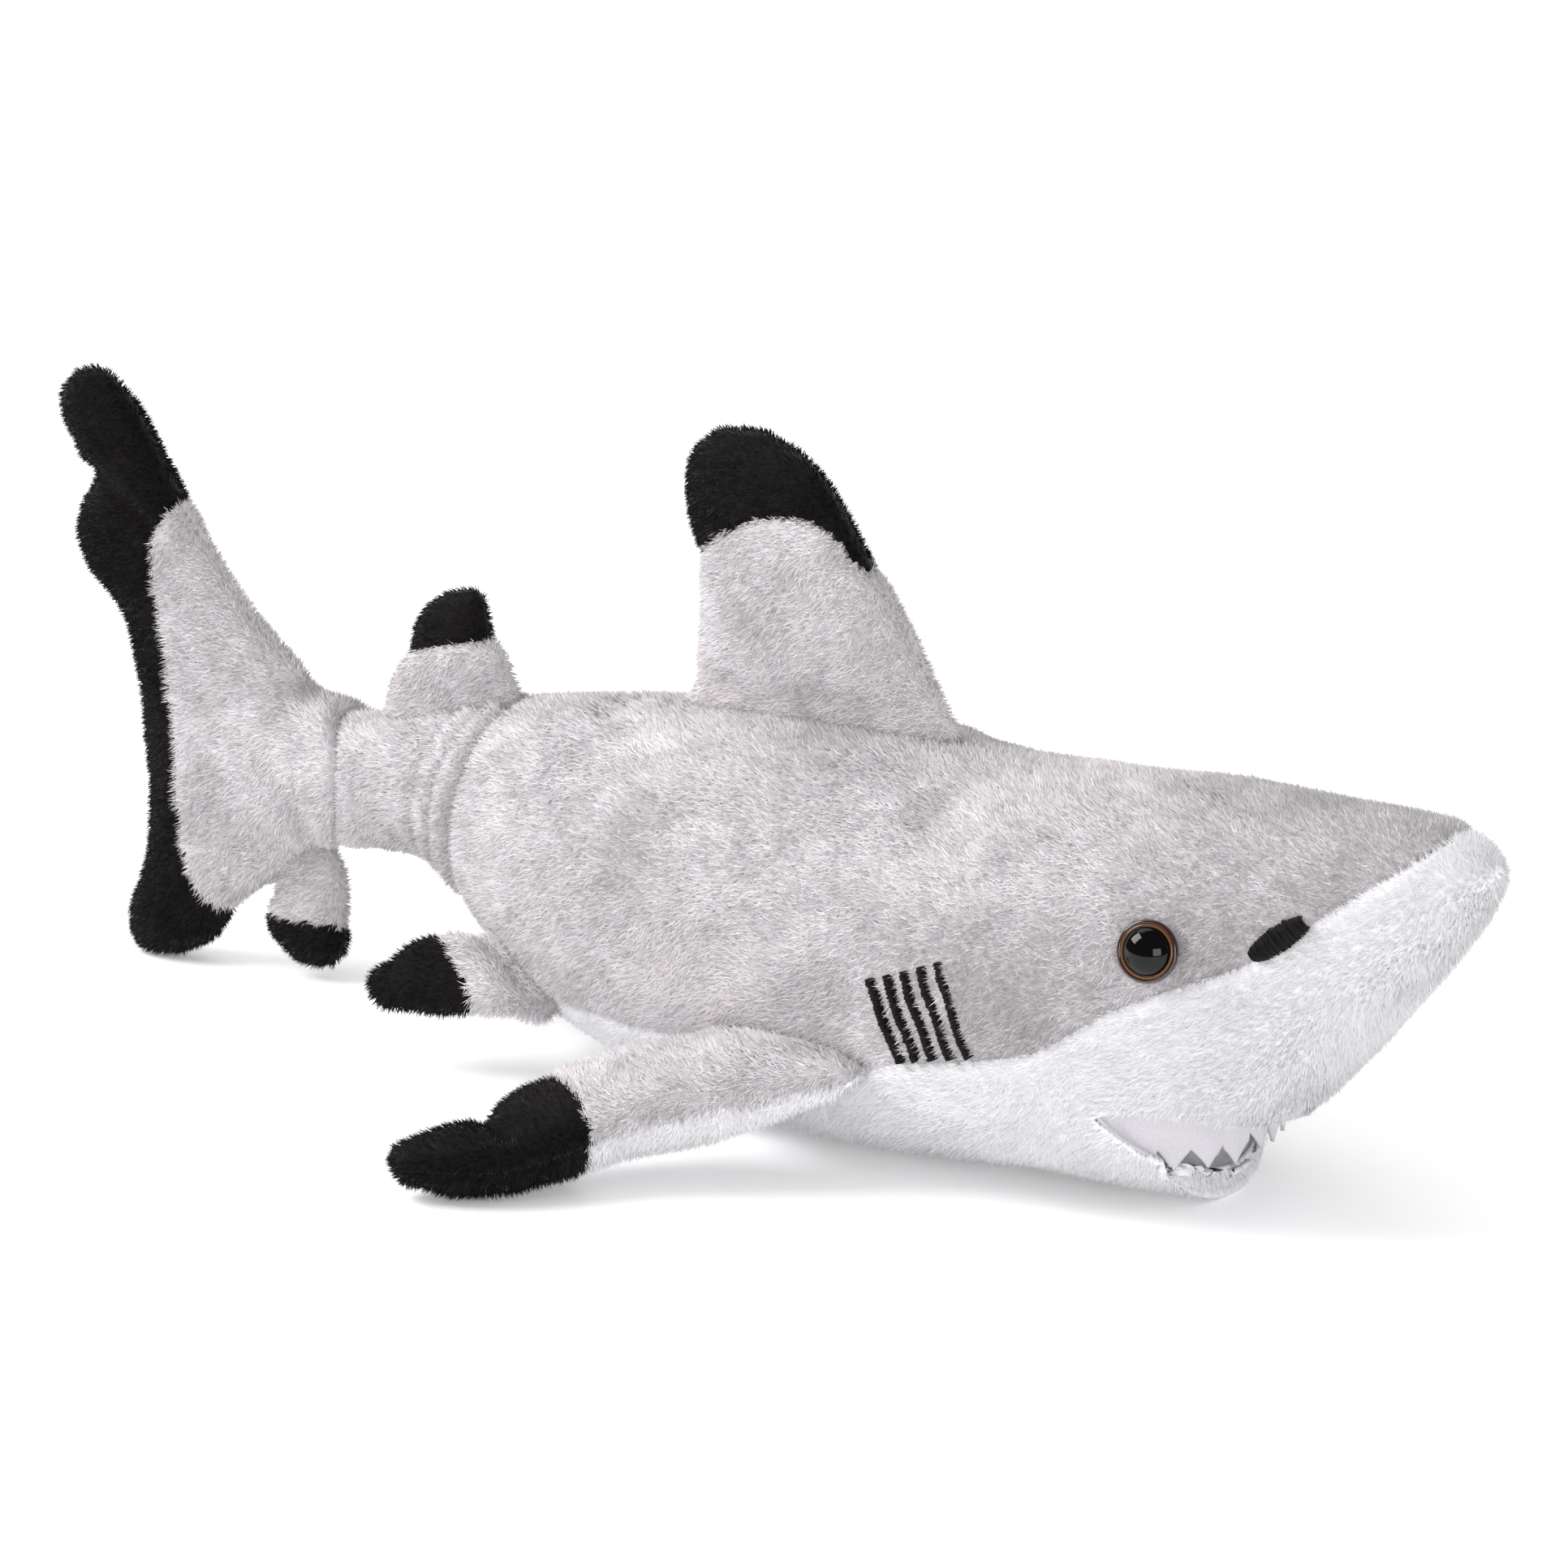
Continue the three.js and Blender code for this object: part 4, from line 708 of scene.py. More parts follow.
# normals across the cut between the two pieces agree, because both use the smooth trunk's own
def trunk_normals(p):
    n = np.zeros_like(p)
    for sd in (-1, 1):
        m = (p[:, 1] >= 0) if sd > 0 else (p[:, 1] < 0)
        n[m] = on_trunk(p[m, 0], p[m, 2], sd)[1]
    return n


for s, d, nose in ((rear, rear_d, False), (front, front_d, True)):
    n = s.normals()
    cut = np.abs(s.V[:, 0]) < 1e-6
    n[cut] = unit(trunk_normals(s.V[cut]))
    n[cut & (np.abs(s.V[:, 1]) < 1e-6)] *= [1, 0, 1]
    s.V = s.V + unit(n) * trunk_relief(s.V, d)[:, None]

EYES = [on_trunk(EYE_X, EYE_Z, sd) for sd in (-1, 1)]
GILLS = []
for g in range(5):
    k = g / 4
    GILLS.append(((52.4 + 16.4 * k, 47.9 + 6.4 * k), (60.3 + 16.6 * k, 31.4 + 4.2 * k)))
NOSTRIL = ((135.8, 65.3), (145.0, 73.1))


def trunk_rules(p, n):
    keep = np.ones(len(p), bool)
    long = np.ones(len(p))
    sd = np.abs(p[:, 2] - seam_z(p[:, 0]))
    long *= 0.72 + 0.28 * step(0.3, 2.2, sd)
    for (e, en) in EYES:
        d = np.linalg.norm(p - e, axis=1)
        keep &= d > 5.9
        long *= 0.55 + 0.45 * step(6, 9, d)
    for a, b in GILLS:
        d = seg_dist(p[:, 0], p[:, 2], a, b)
        keep &= (d > 0.85)
        long *= 0.5 + 0.5 * step(0.8, 2.2, d)
    d = seg_dist(p[:, 0], p[:, 2], *NOSTRIL)
    keep &= d > 1.5
    long *= 0.6 + 0.4 * step(1.4, 3.4, d)
    return keep, long


# painted shade and painted light on the body's pile, in patches: x, height, spread, change
PAINTED_SHADE_PATCHES = [(-15, 67, 13, -0.34), (-4, 36, 14, 0.28), (32, 40, 12, -0.14), (26, 84, 12, -0.30), (86, 48, 18, -0.46), (52, 80, 8, -0.08)]


def trunk_painted_shade(p):
    # painted shade: the grey pile is made darker towards the front of the head and on the snout; the patches add
    # painted shade and painted light
    t = -0.04 - 0.30 * step(92, 116, p[:, 0] + 0.35 * (p[:, 2] - 80)) - 0.12 * step(120, 150, p[:, 0])
    for x, z, wide, change in PAINTED_SHADE_PATCHES:
        t += change * np.exp(-(((p[:, 0] - x) ** 2 + (p[:, 2] - z) ** 2) / wide**2))
    return t


def skin_piece(name, s, thickness, stand):
    closed = thick(s, thickness)
    ob = build(name, closed, BASES)
    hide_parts(*stand)
    return ob


def join_body(obs):
    for o in obs:
        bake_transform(o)


AREA_D = 4.4
rear_ob = skin_piece("body_skin_rear", rear, 1.1, ["body_back_panel"])
front_ob = skin_piece("body_skin_front", front, 1.1, ["body_belly_panel", "jaw_cover"])
rear_pile = pile("pile_rear", rear, AREA_D, 2.1, trunk_rules, seed=11, tint=trunk_painted_shade)
front_pile = pile("pile_front", front, AREA_D, 2.1, trunk_rules, seed=12, tint=trunk_painted_shade)
join_body([rear_ob] + rear_pile)
join_body([front_ob] + front_pile)

# ---- fins -----------------------------------------------------------------------------------------------------


def fin(stations, tip, before=None, start_tip=None, step_mm=1.1, around=56, blunt=0.85, cut=None):
    """Stuffed fin through stations (front edge, rear edge, half thickness on one side, on the other, bluntness), closed at the tip.
    Gives the skin, and for each point its place round the section and along the span."""
    st = ([before] if before is not None else []) + list(stations)
    rows = []
    mids = [(np.array(f) + np.array(r)) / 2 for f, r, *_ in st]
    s = np.concatenate([[0], np.cumsum([np.linalg.norm(b - a) for a, b in zip(mids, mids[1:])])])
    for q, (f, r, t, td, bl) in zip(s, st):
        rows.append([q, *f, *r, t, td, bl])
    tb = table(rows)
    n = max(6, int(s[-1] / step_mm))
    v = tb(np.linspace(0, s[-1], n))
    F, R, T, TD, BL = v[:, 0:3], v[:, 3:6], v[:, 6], v[:, 7], v[:, 8]
    mid = (F + R) / 2
    span = np.gradient(mid, axis=0)
    chord = F - R
    up = unit(np.cross(chord, span))
    if abs(up[:, 2].mean()) > 0.3 and up[:, 2].mean() < 0:
        up = -up

    def cap(F0, R0, T0, TD0, up0, BL0, end):
        m0, h0 = (F0 + R0) / 2, (F0 - R0) / 2
        k = max(5, int(np.linalg.norm(np.array(end) - m0) / step_mm) + 5)
        out = []
        for ph in np.linspace(0, math.pi / 2, k + 1)[1:-1]:
            m = m0 + (np.array(end) - m0) * math.sin(ph)
            out.append((m + h0 * math.cos(ph), m - h0 * math.cos(ph), T0 * math.cos(ph), TD0 * math.cos(ph), up0, BL0))
        return out

    rowsF = [(F[i], R[i], T[i], TD[i], up[i], BL[i]) for i in range(n)]
    rowsF += cap(F[-1], R[-1], T[-1], TD[-1], up[-1], BL[-1], tip)
    if start_tip is not None:
        rowsF = cap(F[0], R[0], T[0], TD[0], up[0], BL[0], start_tip)[::-1] + rowsF
    u = np.arange(around // 2 + 1) / (around // 2)
    th = (1 - np.cos(math.pi * u)) / 2 * math.pi * 0.5 + math.pi * u * 0.5
    th = np.concatenate([th, 2 * math.pi - th[1:-1][::-1]])
    cs, sn = np.cos(th), np.sin(th)
    P = []
    for f, r, t, td, w, bl in rowsF:
        m, h = (f + r) / 2, (f - r) / 2
        full = np.sqrt(1 - np.abs(cs) ** 3.0)
        y = np.where(sn > 0, t * full, -td * (full if bl > 0.82 else np.abs(sn) ** bl))
        P.append(m + h[None] * cs[:, None] + w[None] * y[:, None])
    P = np.array(P)
    g = grid(P, None if start_tip is None else start_tip, tip)
    ring = np.concatenate([np.tile(np.arange(len(th)), len(P)), [0, 0]])
    return g, ring, len(th), len(P)


def fin_relief(s, edge=None, lines=(), seed=1, lump=0.45, sink=0.9):
    n = s.normals()
    h = -sink + lump * noise(s.V, 13, seed) + 0.2 * noise(s.V, 6, seed + 1)
    for d, deep, wide in lines:
        h -= deep * np.exp(-((d / wide) ** 2))
    s.V = s.V + n * h[:, None]


def flip_y(s):
    return Skin(s.V * [1, -1, 1], turned(s.F), s.kind.copy())


def out_of_trunk(depth):
    def rules(p, n):
        return ~inside_trunk(p, depth), np.ones(len(p))
    return rules


def blade(name, rows, tip, place, line, stand, seed, root, flare=1.6):
    st = [(place(h, f), place(h, r), t, t, 0.85) for h, r, f, t in rows]
    st[0] = (st[0][0], st[0][1], rows[1][3] * 0.93, rows[1][3] * 0.93, 0.85)
    h0, r0, f0, t0 = rows[0]
    before = (place(h0 - root, f0 - 1), place(h0 - root, r0 + 1), rows[1][3] * 0.9, rows[1][3] * 0.9, 0.85)
    st[0] = (place(h0, f0 + 0.8), place(h0, r0 - flare)) + st[0][2:]
    st.insert(0, (place(h0 - 2.4, f0 + 1.6), place(h0 - 2.4, r0 - 2.2 * flare)) + st[0][2:])
    s, ring, m, k = fin(st, place(*tip), before)
    lx, lz = np.array([place(h, x) for x, h in line])[:, [0, 2]].T
    d = s.V[:, 2] - np.interp(s.V[:, 0], lx, lz)
    edge = np.minimum(ring, np.abs(m // 2 - ring))
    fin_relief(s, lines=[(d, 0.55, 1.2)], seed=seed)
    c = s.centres()
    s.kind = np.where(c[:, 2] > np.interp(c[:, 0], lx, lz), 2, 0)
    ob = build(name, s, BASES)
    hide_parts(*stand)
    ps = pile("pile_" + name, s, AREA_D * 1.1, 2.0, out_of_trunk(0.4), seed=seed)
    join_body([ob] + ps)
    return s


dorsal_place = lambda h, x: np.array([x, 0, 88.7 + h + (x - 12) * 0.03])
second_place = lambda h, x: np.array([x - 73, 0, 78.6 + h + x * 0.235])
blade("dorsal_fin_skin", DORSAL, DORSAL_TIP, dorsal_place, DORSAL_LINE, ["dorsal_fin_cover", "dorsal_fin_tip"], 101, 7)
blade("second_dorsal_skin", SECOND, SECOND_TIP, second_place, SECOND_LINE, ["second_dorsal_cover", "second_dorsal_tip"], 111, 6, 0.5)


# tail: the sleeve and the fin are one cloth, so they are made into one surface
def closed_object(name, s):
    return build(name, s, BASES)


def remeshed(name, skins, voxel, rounds):
    obs = [build(name, s, BASES) for s in skins]
    V = np.concatenate([s.V for s in skins])
    off = np.cumsum([0] + [len(s.V) for s in skins[:-1]])
    F = np.concatenate([s.F + o for s, o in zip(skins, off)])
    for o in obs:
        bpy.data.objects.remove(o)
    ob = build(name, Skin(V, F), BASES)
    md = ob.modifiers.new("one", "REMESH")
    md.mode, md.voxel_size = "VOXEL", voxel * MM
    md.use_smooth_shade = True
    e = ob.evaluated_get(bpy.context.evaluated_depsgraph_get())
    me = e.to_mesh()
    co = np.zeros(len(me.vertices) * 3)
    me.vertices.foreach_get("co", co)
    co = co.reshape(-1, 3) / MM - SHIFT
    ls, lt = np.zeros(len(me.polygons), int), np.zeros(len(me.polygons), int)
    me.polygons.foreach_get("loop_start", ls)
    me.polygons.foreach_get("loop_total", lt)
    vi = np.zeros(len(me.loops), int)
    me.loops.foreach_get("vertex_index", vi)
    F = vi[ls[:, None] + np.minimum(np.arange(4)[None], lt[:, None] - 1)]
    e.to_mesh_clear()
    bpy.data.objects.remove(ob)
    s = Skin(co, F)
    E = np.unique(np.sort(np.concatenate([F[:, [i, (i + 1) % 4]] for i in range(4)]), axis=1), axis=0)
    E = E[E[:, 0] != E[:, 1]]
    deg = np.bincount(E.ravel(), minlength=len(co))[:, None]
    for r in range(rounds):
        for k in (0.55, -0.52):
            acc = np.zeros_like(s.V)
            np.add.at(acc, E[:, 0], s.V[E[:, 1]])
            np.add.at(acc, E[:, 1], s.V[E[:, 0]])
            s.V = s.V + k * (acc / np.maximum(deg, 1) - s.V)
    return s


tp = lambda h, x: np.array([x + TAIL_X, 0, h])
caudal, *_ = fin([(tp(h, f), tp(h, r), t, t, 0.85) for h, r, f, t in CAUDAL], tp(*CAUDAL_TOP), start_tip=tp(*CAUDAL_LOW))
# the sleeve, from inside the trunk back into the fin
xs = np.linspace(-107, -161, 56)
w, zt, zb = np.moveaxis(table(sorted(STUB))(xs), -1, 0)
a = np.linspace(0, 2 * math.pi, 60, endpoint=False)
ca, sa = np.sign(np.cos(a)) * np.abs(np.cos(a)) ** 0.95, np.sin(a)
zs = ((zt + zb) / 2)[:, None] + ((zt - zb) / 2)[:, None] * sa[None]
off = xs[:, None] - fold_x(w[:, None] * ca[None])
shut = 5.5 * step(-3.0, 0.2, off) - 0.5 - 1.3 * np.exp(-(((off + 5.6) / 3.2) ** 2))
R = np.stack([np.broadcast_to(xs[:, None], (len(xs), 60)), (w[:, None] - shut) * ca[None], ((zt + zb) / 2)[:, None] + ((zt - zb) / 2)[:, None] * sa[None] - shut * sa[None]], -1)
stub = grid(R)
tail = remeshed("tail_tmp", [caudal, stub], 1.35, 6)
line = np.array(CAUDAL_LINE) + [TAIL_X, 0]
back_poly = [*map(tuple, line), (-150, 400), (-320, 400), (-320, -100), (-150, -100)]
dl, _, _ = poly_near(tail.V[:, 0], tail.V[:, 2], line.tolist() + line[::-1].tolist())
ridge = -0.9 * np.exp(-(((tail.V[:, 0] + 128.5 + 0.05 * (tail.V[:, 2] - 50)) / 2.4) ** 2)) * step(66, 56, tail.V[:, 2])
# the upper lobe folds over the lower one
lobe = seg_dist(tail.V[:, 0] - TAIL_X, tail.V[:, 2], (-66.5, 117.5), (-49.5, 104.5))
ridge -= 1.7 * np.exp(-((lobe / 1.5) ** 2))
ridge += 0.9 * np.exp(-(((lobe - 4.0) / 2.6) ** 2)) * step(-3, 3, (tail.V[:, 0] - TAIL_X + 58) * 0.6 + (tail.V[:, 2] - 111) * 0.8)
nn = tail.normals()
tail.V = tail.V + nn * (-0.7 + 0.55 * noise(tail.V, 16, 41) + 0.22 * noise(tail.V, 6, 42) - 0.55 * np.exp(-((dl / 1.2) ** 2)) + ridge)[:, None]
tail.V[:, 2] = np.maximum(tail.V[:, 2], 0.281 + 0.3)
c = tail.centres()
tail.kind = np.where(in_poly(c[:, 0], c[:, 2], back_poly), 2, 0)
tail.V = yawed(tail.V)
tail_ob = build("tail_skin", tail, BASES)
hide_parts("tail_fin_cover", "tail_fin_edge")
tail_pile = pile("pile_tail", tail, AREA_D * 1.05, 2.1, out_of_trunk(0.4), seed=13)
join_body([tail_ob] + tail_pile)

# fin below the tail's root
st = [(yawed(tp(h, f)), yawed(tp(hr, r)), t, t, 0.85) for h, r, f, t, hr in ANAL]
up_in = np.array([-4.3, 0, 7.9])
before = (yawed(tp(29.6, -5) + up_in), yawed(tp(19.8, -23) + up_in), 4.0, 4.0, 0.85)
st[0] = (st[0][0], st[0][1], 4.0, 4.0, 0.85)
anal, ring, m, k = fin(st, yawed(tp(*ANAL_TIP)), before)
un = unyawed(anal.V)
d = un[:, 2] - np.interp(un[:, 0], [-180, -100], [17.8, 13.0])
fin_relief(anal, lines=[(d, 0.5, 1.1)], seed=121)
c = unyawed(anal.centres())
anal.kind = np.where(c[:, 2] < np.interp(c[:, 0], [-180, -100], [17.8, 13.0]), 2, 0)
anal_ob = build("anal_fin_skin", anal, BASES)
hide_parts("anal_fin_cover", "anal_fin_tip")
anal_pile = pile("pile_anal_fin", anal, AREA_D * 1.1, 1.9, None, seed=14)
join_body([anal_ob] + anal_pile)


# paired fins
def paired(prefix, rows, tip, cutA, cutB, seed, notch=None):
    def at(q):
        p, n = on_trunk(q[0], q[1], -1)
        return p[0] + n[0] * ROOT_OUT, n[0]
    (F0, nF), (R0, nR) = at(rows[0][0]), at(rows[0][1])
    wide = 1.15
    st = [(F0, R0, rows[0][2] * 1.5, rows[0][3] * 1.6, 0.8)]
    for f, r, t, td in rows[1:]:
        st.append((np.array(f, float), np.array(r, float), t, td, 0.6 if td > t + 1 else 0.85))
    before = (F0 - nF * 9, R0 - nR * 9, rows[0][2] * 1.3, rows[0][3] * 1.4, 0.8)
    s, ring, m, k = fin(st, np.array(tip, float), before, around=72)
    A, B = np.array(cutA, float), np.array(cutB, float)
    t = unit(B - A)
    o = np.array([t[1], -t[0]])
    if (np.array(tip[:2]) - A) @ o < 0:
        o = -o
    dist = (s.V[:, :2] - A) @ o
    # the sewn line between upper and lower cloth
    edge = np.minimum(ring, np.abs(m // 2 - ring))
    fin_relief(s, lines=[(dist, 0.5, 1.2), (edge.astype(float) * 1.1, 0.45, 1.1)], seed=seed, lump=0.55)
    if notch is not None:
        (ax, ay), (bx, by), deep_, wide_ = notch
        q = seg_dist(s.V[:, 0], s.V[:, 1], (ax, ay), (bx, by))
        s.V[:, 2] -= deep_ * np.exp(-((q / wide_) ** 2)) * step(5, 9, s.V[:, 2])
    s.V[:, 2] = np.maximum(s.V[:, 2], 0.281 + 0.5)
    # faces: upper side is the first half of the ring
    nf = (k - 1) * m
    col = np.zeros(len(s.F), int)
    ringf = ring[s.F]
    upper = (ringf.max(1) <= m // 2)
    s.kind = np.where(upper, 0, 1)
    cc = s.centres()
    s.kind = np.where((cc[:, :2] - A) @ o > 0, 2, s.kind)
    for side, w in ((-1, "right"), (1, "left")):
        q = s if side < 0 else flip_y(s)
        ob = build(f"{prefix}_skin_{w}", q, BASES)
        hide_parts(f"{prefix}_upper_{w}", f"{prefix}_lower_{w}", f"{prefix}_tip_{w}")
        ps = pile(f"pile_{prefix}_{w}", q, AREA_D * 1.1, 2.2, out_of_trunk(0.4), seed=seed + side)
        join_body([ob] + ps)
    return s


paired("pectoral_fin", PECTORAL, PECTORAL_TIP, [8, -80], [-14, -70], 131, ((-24, -83.5), (-9, -88.5), 3.0, 3.0))
paired("pelvic_fin", PELVIC, PELVIC_TIP, [-58.5, -37], [-76, -29], 141)

# ---- eyes -----------------------------------------------------------------------------------------------------
eye_black, _, _ = principled("eye_black", Roughness=0.04, IOR=1.36)
eye_black.node_tree.nodes["Principled BSDF"].inputs["Base Color"].default_value = (0.002, 0.0016, 0.0014, 1)
eye_amber, _, _ = principled("eye_amber", Roughness=0.12, IOR=1.5)
eye_amber.node_tree.nodes["Principled BSDF"].inputs["Base Color"].default_value = (0.13, 0.058, 0.022, 1)
eye_rim, _, _ = principled("eye_rim", Roughness=0.2, Coat_Weight=0.8, Coat_Roughness=0.08)
eye_rim.node_tree.nodes["Principled BSDF"].inputs["Base Color"].default_value = (0.028, 0.010, 0.006, 1)
nylon, _, _ = principled("nylon", Roughness=0.4, Specular_IOR_Level=0.4)
nylon.node_tree.nodes["Principled BSDF"].inputs["Base Color"].default_value = (0.78, 0.78, 0.75, 1)


def lathe(profile, centre, axis, seg=72):
    """Closed body of revolution: profile rows are (radius, height), starting and ending on the axis or closing on itself."""
    axis = unit(np.array(axis, float))
    e1 = unit(np.cross(axis, [0.3, 0.2, 1.0]))
    e2 = np.cross(axis, e1)
    a = np.linspace(0, 2 * math.pi, seg, endpoint=False)
    dirs = np.cos(a)[:, None] * e1 + np.sin(a)[:, None] * e2
    on_axis = profile[0][0] < 1e-6
    rows = profile[1:-1] if on_axis else profile[:-1]
    P = np.array([centre + axis * y + dirs * r for r, y in rows])
    if on_axis:
        return grid(P, centre + axis * profile[0][1], centre + axis * profile[-1][1])
    n, m = P.shape[:2]
    idx = np.arange(n * m).reshape(n, m)
    nx = np.roll(idx, -1, 0)
    F = np.stack([idx, np.roll(idx, -1, 1), np.roll(nx, -1, 1), nx], -1).reshape(-1, 4)
    s = Skin(P.reshape(-1, 3), F)
    A, B, C, D = (s.V[F[:, k]] for k in range(4))
    vol = np.einsum("ij,ij->", A, np.cross(B, C)) + np.einsum("ij,ij->", A, np.cross(C, D))
    if vol < 0:
        s.F = s.F[:, ::-1]
    return s


for sd, w in ((-1, "right"), (1, "left")):
    p, n = on_trunk(EYE_X, EYE_Z, sd)
    p, n = p[0], n[0]
    c0 = p - n * 0.1
    arc = lambda r, y, h, a0, a1, k: [(r * math.cos(t), y + h * math.sin(t)) for t in np.linspace(a0, a1, k)]
    body_prof = [(0, -11), (1.2, -11), (1.9, -10.0), (1.55, -9.4), (2.0, -8.6), (1.6, -8.0), (2.0, -7.2), (1.6, -6.6), (2.0, -5.8), (1.7, -5.2), (2.0, -0.4), (5.0, -0.3), (5.0, 1.1)]
    dome = arc(5.02, 1.1, 3.3, 0, math.pi / 2, 18)
    dome[-1] = (0, 4.4)
    ob = build(f"eye_dome_{w}", lathe(body_prof + dome, c0, n), [eye_black])
    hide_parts(f"eye_{w}"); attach(ob, "body")
    ring_prof = [(5.08, 0.1), (5.75, 0.1), (5.86, 0.7), (5.78, 1.2), (5.58, 1.6), (5.36, 1.75), (5.18, 1.7), (5.08, 1.5), (5.08, 0.1)]
    ob = build(f"eye_amber_{w}", lathe(ring_prof, c0, n), [eye_amber])
    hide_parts(f"eye_ring_{w}"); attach(ob, "body")
    rim = [(5.98 + 0.56 * math.cos(t), 0.85 + 0.85 * math.sin(t)) for t in np.linspace(0, 2 * math.pi, 17)]
    ob = build(f"eye_rim_{w}", lathe(rim, c0, n), [eye_rim])
    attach(ob, "body")
    q = -1.6 - 1.7
    wash = [(2.15, q - 1.2), (2.6, q - 1.45), (5.6, q - 1.2), (6.0, q - 0.7), (5.6, q - 0.1), (3.2, q), (2.15, q + 0.1), (2.15, q - 1.2)]
    ob = build(f"eye_lock_{w}", lathe(wash, p, n), [nylon])
    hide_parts(f"eye_washer_{w}"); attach(ob, "body")

# ---- stitching ------------------------------------------------------------------------------------------------
thread = pile_shades("black_thread", (16, 13, 14), (0.6, 1.1), 0.65, 0.0, 0.2)


def tube(path, r, sides=6):
    path = np.array(path)
    t = unit(np.gradient(path, axis=0))
    ref = np.array([0.13, 0.37, 0.92])
    e1 = unit(np.cross(t, ref))
    e2 = np.cross(t, e1)
    a = np.linspace(0, 2 * math.pi, sides, endpoint=False)
    rr = np.broadcast_to(np.asarray(r, float), (len(path),))
    P = path[:, None] + rr[:, None, None] * (np.cos(a)[None, :, None] * e1[:, None] + np.sin(a)[None, :, None] * e2[:, None])
    return grid(P)


def merge(skins, kinds=None):
    off = np.cumsum([0] + [len(s.V) for s in skins[:-1]])
    V = np.concatenate([s.V for s in skins])
    F = np.concatenate([s.F + o for s, o in zip(skins, off)])
    K = np.concatenate([np.full(len(s.F), 0 if kinds is None else kinds[i]) for i, s in enumerate(skins)])
    return Skin(V, F, K)


def satin(name, path, side, width, pitch, stand, seed, height=0.75, r=0.19, ragged=0.14, wander=0.13):
    """Threads laid side by side across a line on the cloth, their ends going down into it."""
    rng = np.random.default_rng(seed)
    x, z = np.array(path, float).T
    pts, nrm = on_trunk(x, z, side)
    L = np.concatenate([[0], np.cumsum(np.linalg.norm(np.diff(pts, axis=0), axis=1))])
    k = int(L[-1] / pitch)
    out, kinds = [], []
    for i in range(k + 1):
        s = L[-1] * i / k
        c = np.array([np.interp(s, L, pts[:, q]) for q in range(3)])
        n = unit(np.array([np.interp(s, L, nrm[:, q]) for q in range(3)]))
        t = unit(np.array([np.interp(min(s + 1, L[-1]), L, pts[:, q]) - np.interp(max(s - 1, 0), L, pts[:, q]) for q in range(3)]))
        b = unit(np.cross(n, t))
        turn = rng.normal(0, wander)
        b = b * math.cos(turn) + t * math.sin(turn)
        W = width(i / k) if callable(width) else width
        lo, hi = -W / 2 * (1 + rng.normal(0, ragged)), W / 2 * (1 + rng.normal(0, ragged))
        top = height * (0.85 + 0.3 * rng.random())
        path_ = []
        for u in np.linspace(0, 1, 7):
            y = lo + (hi - lo) * u
            lift = top * (1 - (2 * u - 1) ** 4) - 1.0 * abs(2 * u - 1) ** 5 + 0.1
            path_.append(c + b * y + n * (lift - 0.35))
        out.append(tube(path_, r * (0.85 + 0.3 * rng.random())))
        kinds.append(int(rng.random() < 0.35))
    ob = build(name, merge(out, kinds), thread)
    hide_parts(*stand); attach(ob, "body")
    return ob


for sd, w in ((-1, "right"), (1, "left")):
    for g, (a_, b_) in enumerate(GILLS):
        pts = [(a_[0] + (b_[0] - a_[0]) * t + 0.25 * math.sin(9 * t + g), a_[1] + (b_[1] - a_[1]) * t) for t in np.linspace(0, 1, 12)]
        satin(f"gill_bar_{w}_{g + 1}", pts, sd, 2.05, 0.25, [f"gill_{w}_{g + 1}"], 300 + g + 10 * (sd + 1))
    a_, b_ = NOSTRIL
    pts = [(a_[0] + (b_[0] - a_[0]) * t, a_[1] + (b_[1] - a_[1]) * t) for t in np.linspace(0, 1, 14)]
    satin(f"nostril_stitch_{w}", pts, sd, lambda u: 1.6 + 3.4 * math.sin(math.pi * (0.04 + 0.92 * u)) ** 0.5, 0.22, [f"nostril_{w}"], 340 + sd, height=1.5, r=0.2, ragged=0.05, wander=0.05)

# ---- mouth ----------------------------------------------------------------------------------------------------
felt = cloth("felt", (214, 212, 217), 0.10, 0.84, scale=1400, bump=0.25)
# the mouth's inside felt is a little darker than the teeth felt: painted shade inside the mouth
felt_painted_shade = cloth("felt_inside", (208, 206, 211), 0.08, 0.84, scale=1400, bump=0.25)


def lip(points, side):
    """Points on the trunk along a line in x and height."""
    q = np.array(points, float)
    L = np.concatenate([[0], np.cumsum(np.hypot(*np.diff(q, axis=0).T))])
    s = np.linspace(0, L[-1], 60)
    x, z = np.interp(s, L, q[:, 0]), np.interp(s, L, q[:, 1])
    p, n = on_trunk(x, z, side)
    return p - n * 1.6


def to_centre(p, x_end, z_end):
    end = np.array([[x_end, 0, z_end]])
    k = 14
    a, b = p[-1], end[0]
    t = np.linspace(0, 1, k + 1)[1:, None]
    bend = a * (1 - t) + b * t
    bend[:, 0] = a[0] + (b[0] - a[0]) * np.sin(t[:, 0] * math.pi / 2)
    return np.concatenate([p, bend])


def even(p, n):
    L = np.concatenate([[0], np.cumsum(np.linalg.norm(np.diff(p, axis=0), axis=1))])
    s = np.linspace(0, L[-1], n)
    return np.stack([np.interp(s, L, p[:, q]) for q in range(3)], -1)


upper = to_centre(lip([[103.5, 25.6], [107, 27.5], [113.6, 27.8], [119, 27.6], [123, 26.7], [126, 25.1], [129, 23.5], [131, 22.8]], 1), 132.6, 22.4)
lower = lip([[103.5, 25.2], [105.8, 21.6], [109.6, 17.2], [111.8, 15.2], [113.6, 14.0], [115.0, 13.4], [115.8, 12.0], [116.1, 10.5]], 1)
